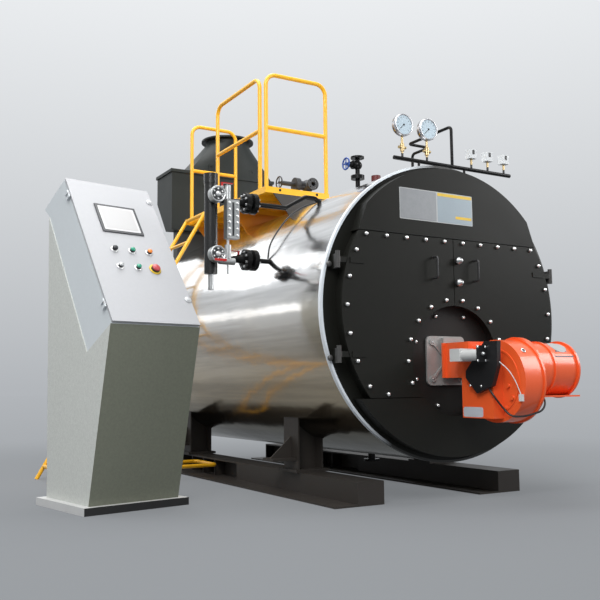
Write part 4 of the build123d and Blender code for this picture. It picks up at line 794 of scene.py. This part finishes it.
# 1 for camera, glossy and transmission rays, 0 for the rest
def seenDirectly(tree):
    rays = put(tree, "ShaderNodeLightPath").outputs
    seen = computed(tree, "MAXIMUM", rays["Is Camera Ray"], rays["Is Glossy Ray"])
    return computed(tree, "MAXIMUM", seen, rays["Is Transmission Ray"])


# Floor that keeps the shadow near the object and runs into the backdrop's tone farther off
def buildFloor():
    half = stageLook["floorSize"]
    mesh = bpy.data.meshes.new("studioFloor")
    outline = [(-half, -half, 0), (half, -half, 0), (half, half, 0), (-half, half, 0)]
    mesh.from_pydata(outline, [], [(0, 1, 2, 3)])
    floor = bpy.data.objects.new("studioFloor", mesh)
    bpy.context.scene.collection.objects.link(floor)
    material, tree, shader = freshMaterial("studioFloorFinish")
    feed(tree, shader, {"Base Color": (*stageLook["floor"], 1), "Roughness": stageLook["roughness"]})
    dull(material, stageLook["shine"])
    place = put(tree, "ShaderNodeTexCoord").outputs["Object"]
    # tone = far - (far - near) * fall / distance, which is even down the picture
    foot = (camera.matrix_world.translation.x, camera.matrix_world.translation.y, 0.0)
    nearness = computed(tree, "DIVIDE", stageLook["fall"], distance(tree, place, foot), clamp=True)
    tone = blend(tree, nearness, stageLook["far"], stageLook["near"])
    glow = put(tree, "ShaderNodeEmission", {"Color": tone})
    fromObject = distance(tree, place, (0.0, 0.0, 0.0))
    fade = rescaled(tree, fromObject, stageLook["reach"], stageLook["share"], interpolation="SMOOTHSTEP")
    share = computed(tree, "MULTIPLY", fade, seenDirectly(tree))
    mix = put(tree, "ShaderNodeMixShader", {0: share, 1: shader.outputs[0], 2: glow.outputs[0]})
    feed(tree, tree.nodes["Material Output"], {"Surface": mix.outputs[0]})
    mesh.materials.append(material)


# Pale sky, brighter higher up, which lights the object by less than it shows
def buildWorld():
    world = bpy.data.worlds.new("studioWorld")
    bpy.context.scene.world = world
    world.use_nodes = True
    tree = world.node_tree
    place = put(tree, "ShaderNodeTexCoord").outputs["Generated"]
    height = put(tree, "ShaderNodeSeparateXYZ", {0: place}).outputs["Z"]
    rise = rescaled(tree, height, (0.0, stageLook["skyTop"]))
    sky = blend(tree, rise, stageLook["far"], stageLook["skyHigh"])
    light = tree.nodes["Background"]
    feed(tree, light, {"Color": sky, "Strength": stageLook["fill"]})
    shown = put(tree, "ShaderNodeBackground", {"Color": sky})
    mix = put(tree, "ShaderNodeMixShader", {0: seenDirectly(tree), 1: light.outputs[0], 2: shown.outputs[0]})
    feed(tree, tree.nodes["World Output"], {"Surface": mix.outputs[0]})


# name: place and aim from the shell's front centre, size, power
lamps = {
    "keyLamp": ((-5.0, -4.5, 5.0), (-0.6, 0.8, 0.0), (3.5, 3.5), 420),
    "topLamp": ((-1.5, 1.5, 6.0), (-0.4, 1.6, 0.0), (5.0, 6.0), 380),
    "sideLamp": ((5.5, -3.5, 3.0), (0.2, 0.0, 0.0), (2.5, 3.5), 200),
    "backLamp": ((-1.5, 10.0, 4.4), (-0.8, 1.0, 0.4), (6.5, 2.4), 54),
    "stripLamp": ((-3.9, 9.6, 1.15), (-1.0, 1.0, 0.1), (10.0, 0.55), 15),
}


# Rectangular lamps that the camera doesn't see
def buildLamps():
    for name, (spot, aim, size, power) in lamps.items():
        data = bpy.data.lights.new(name, "AREA")
        data.shape = "RECTANGLE"
        data.size, data.size_y = size
        data.energy = power
        lamp = bpy.data.objects.new(name, data)
        bpy.context.scene.collection.objects.link(lamp)
        direction = Vector(aim) - Vector(spot)
        turn = direction.to_track_quat("-Z", "Y").to_matrix().to_4x4()
        lamp.matrix_world = Matrix.Translation(axis + Vector(spot)) @ turn
        lamp.visible_camera = False


buildFloor()
buildWorld()
buildLamps()
print("stage built")
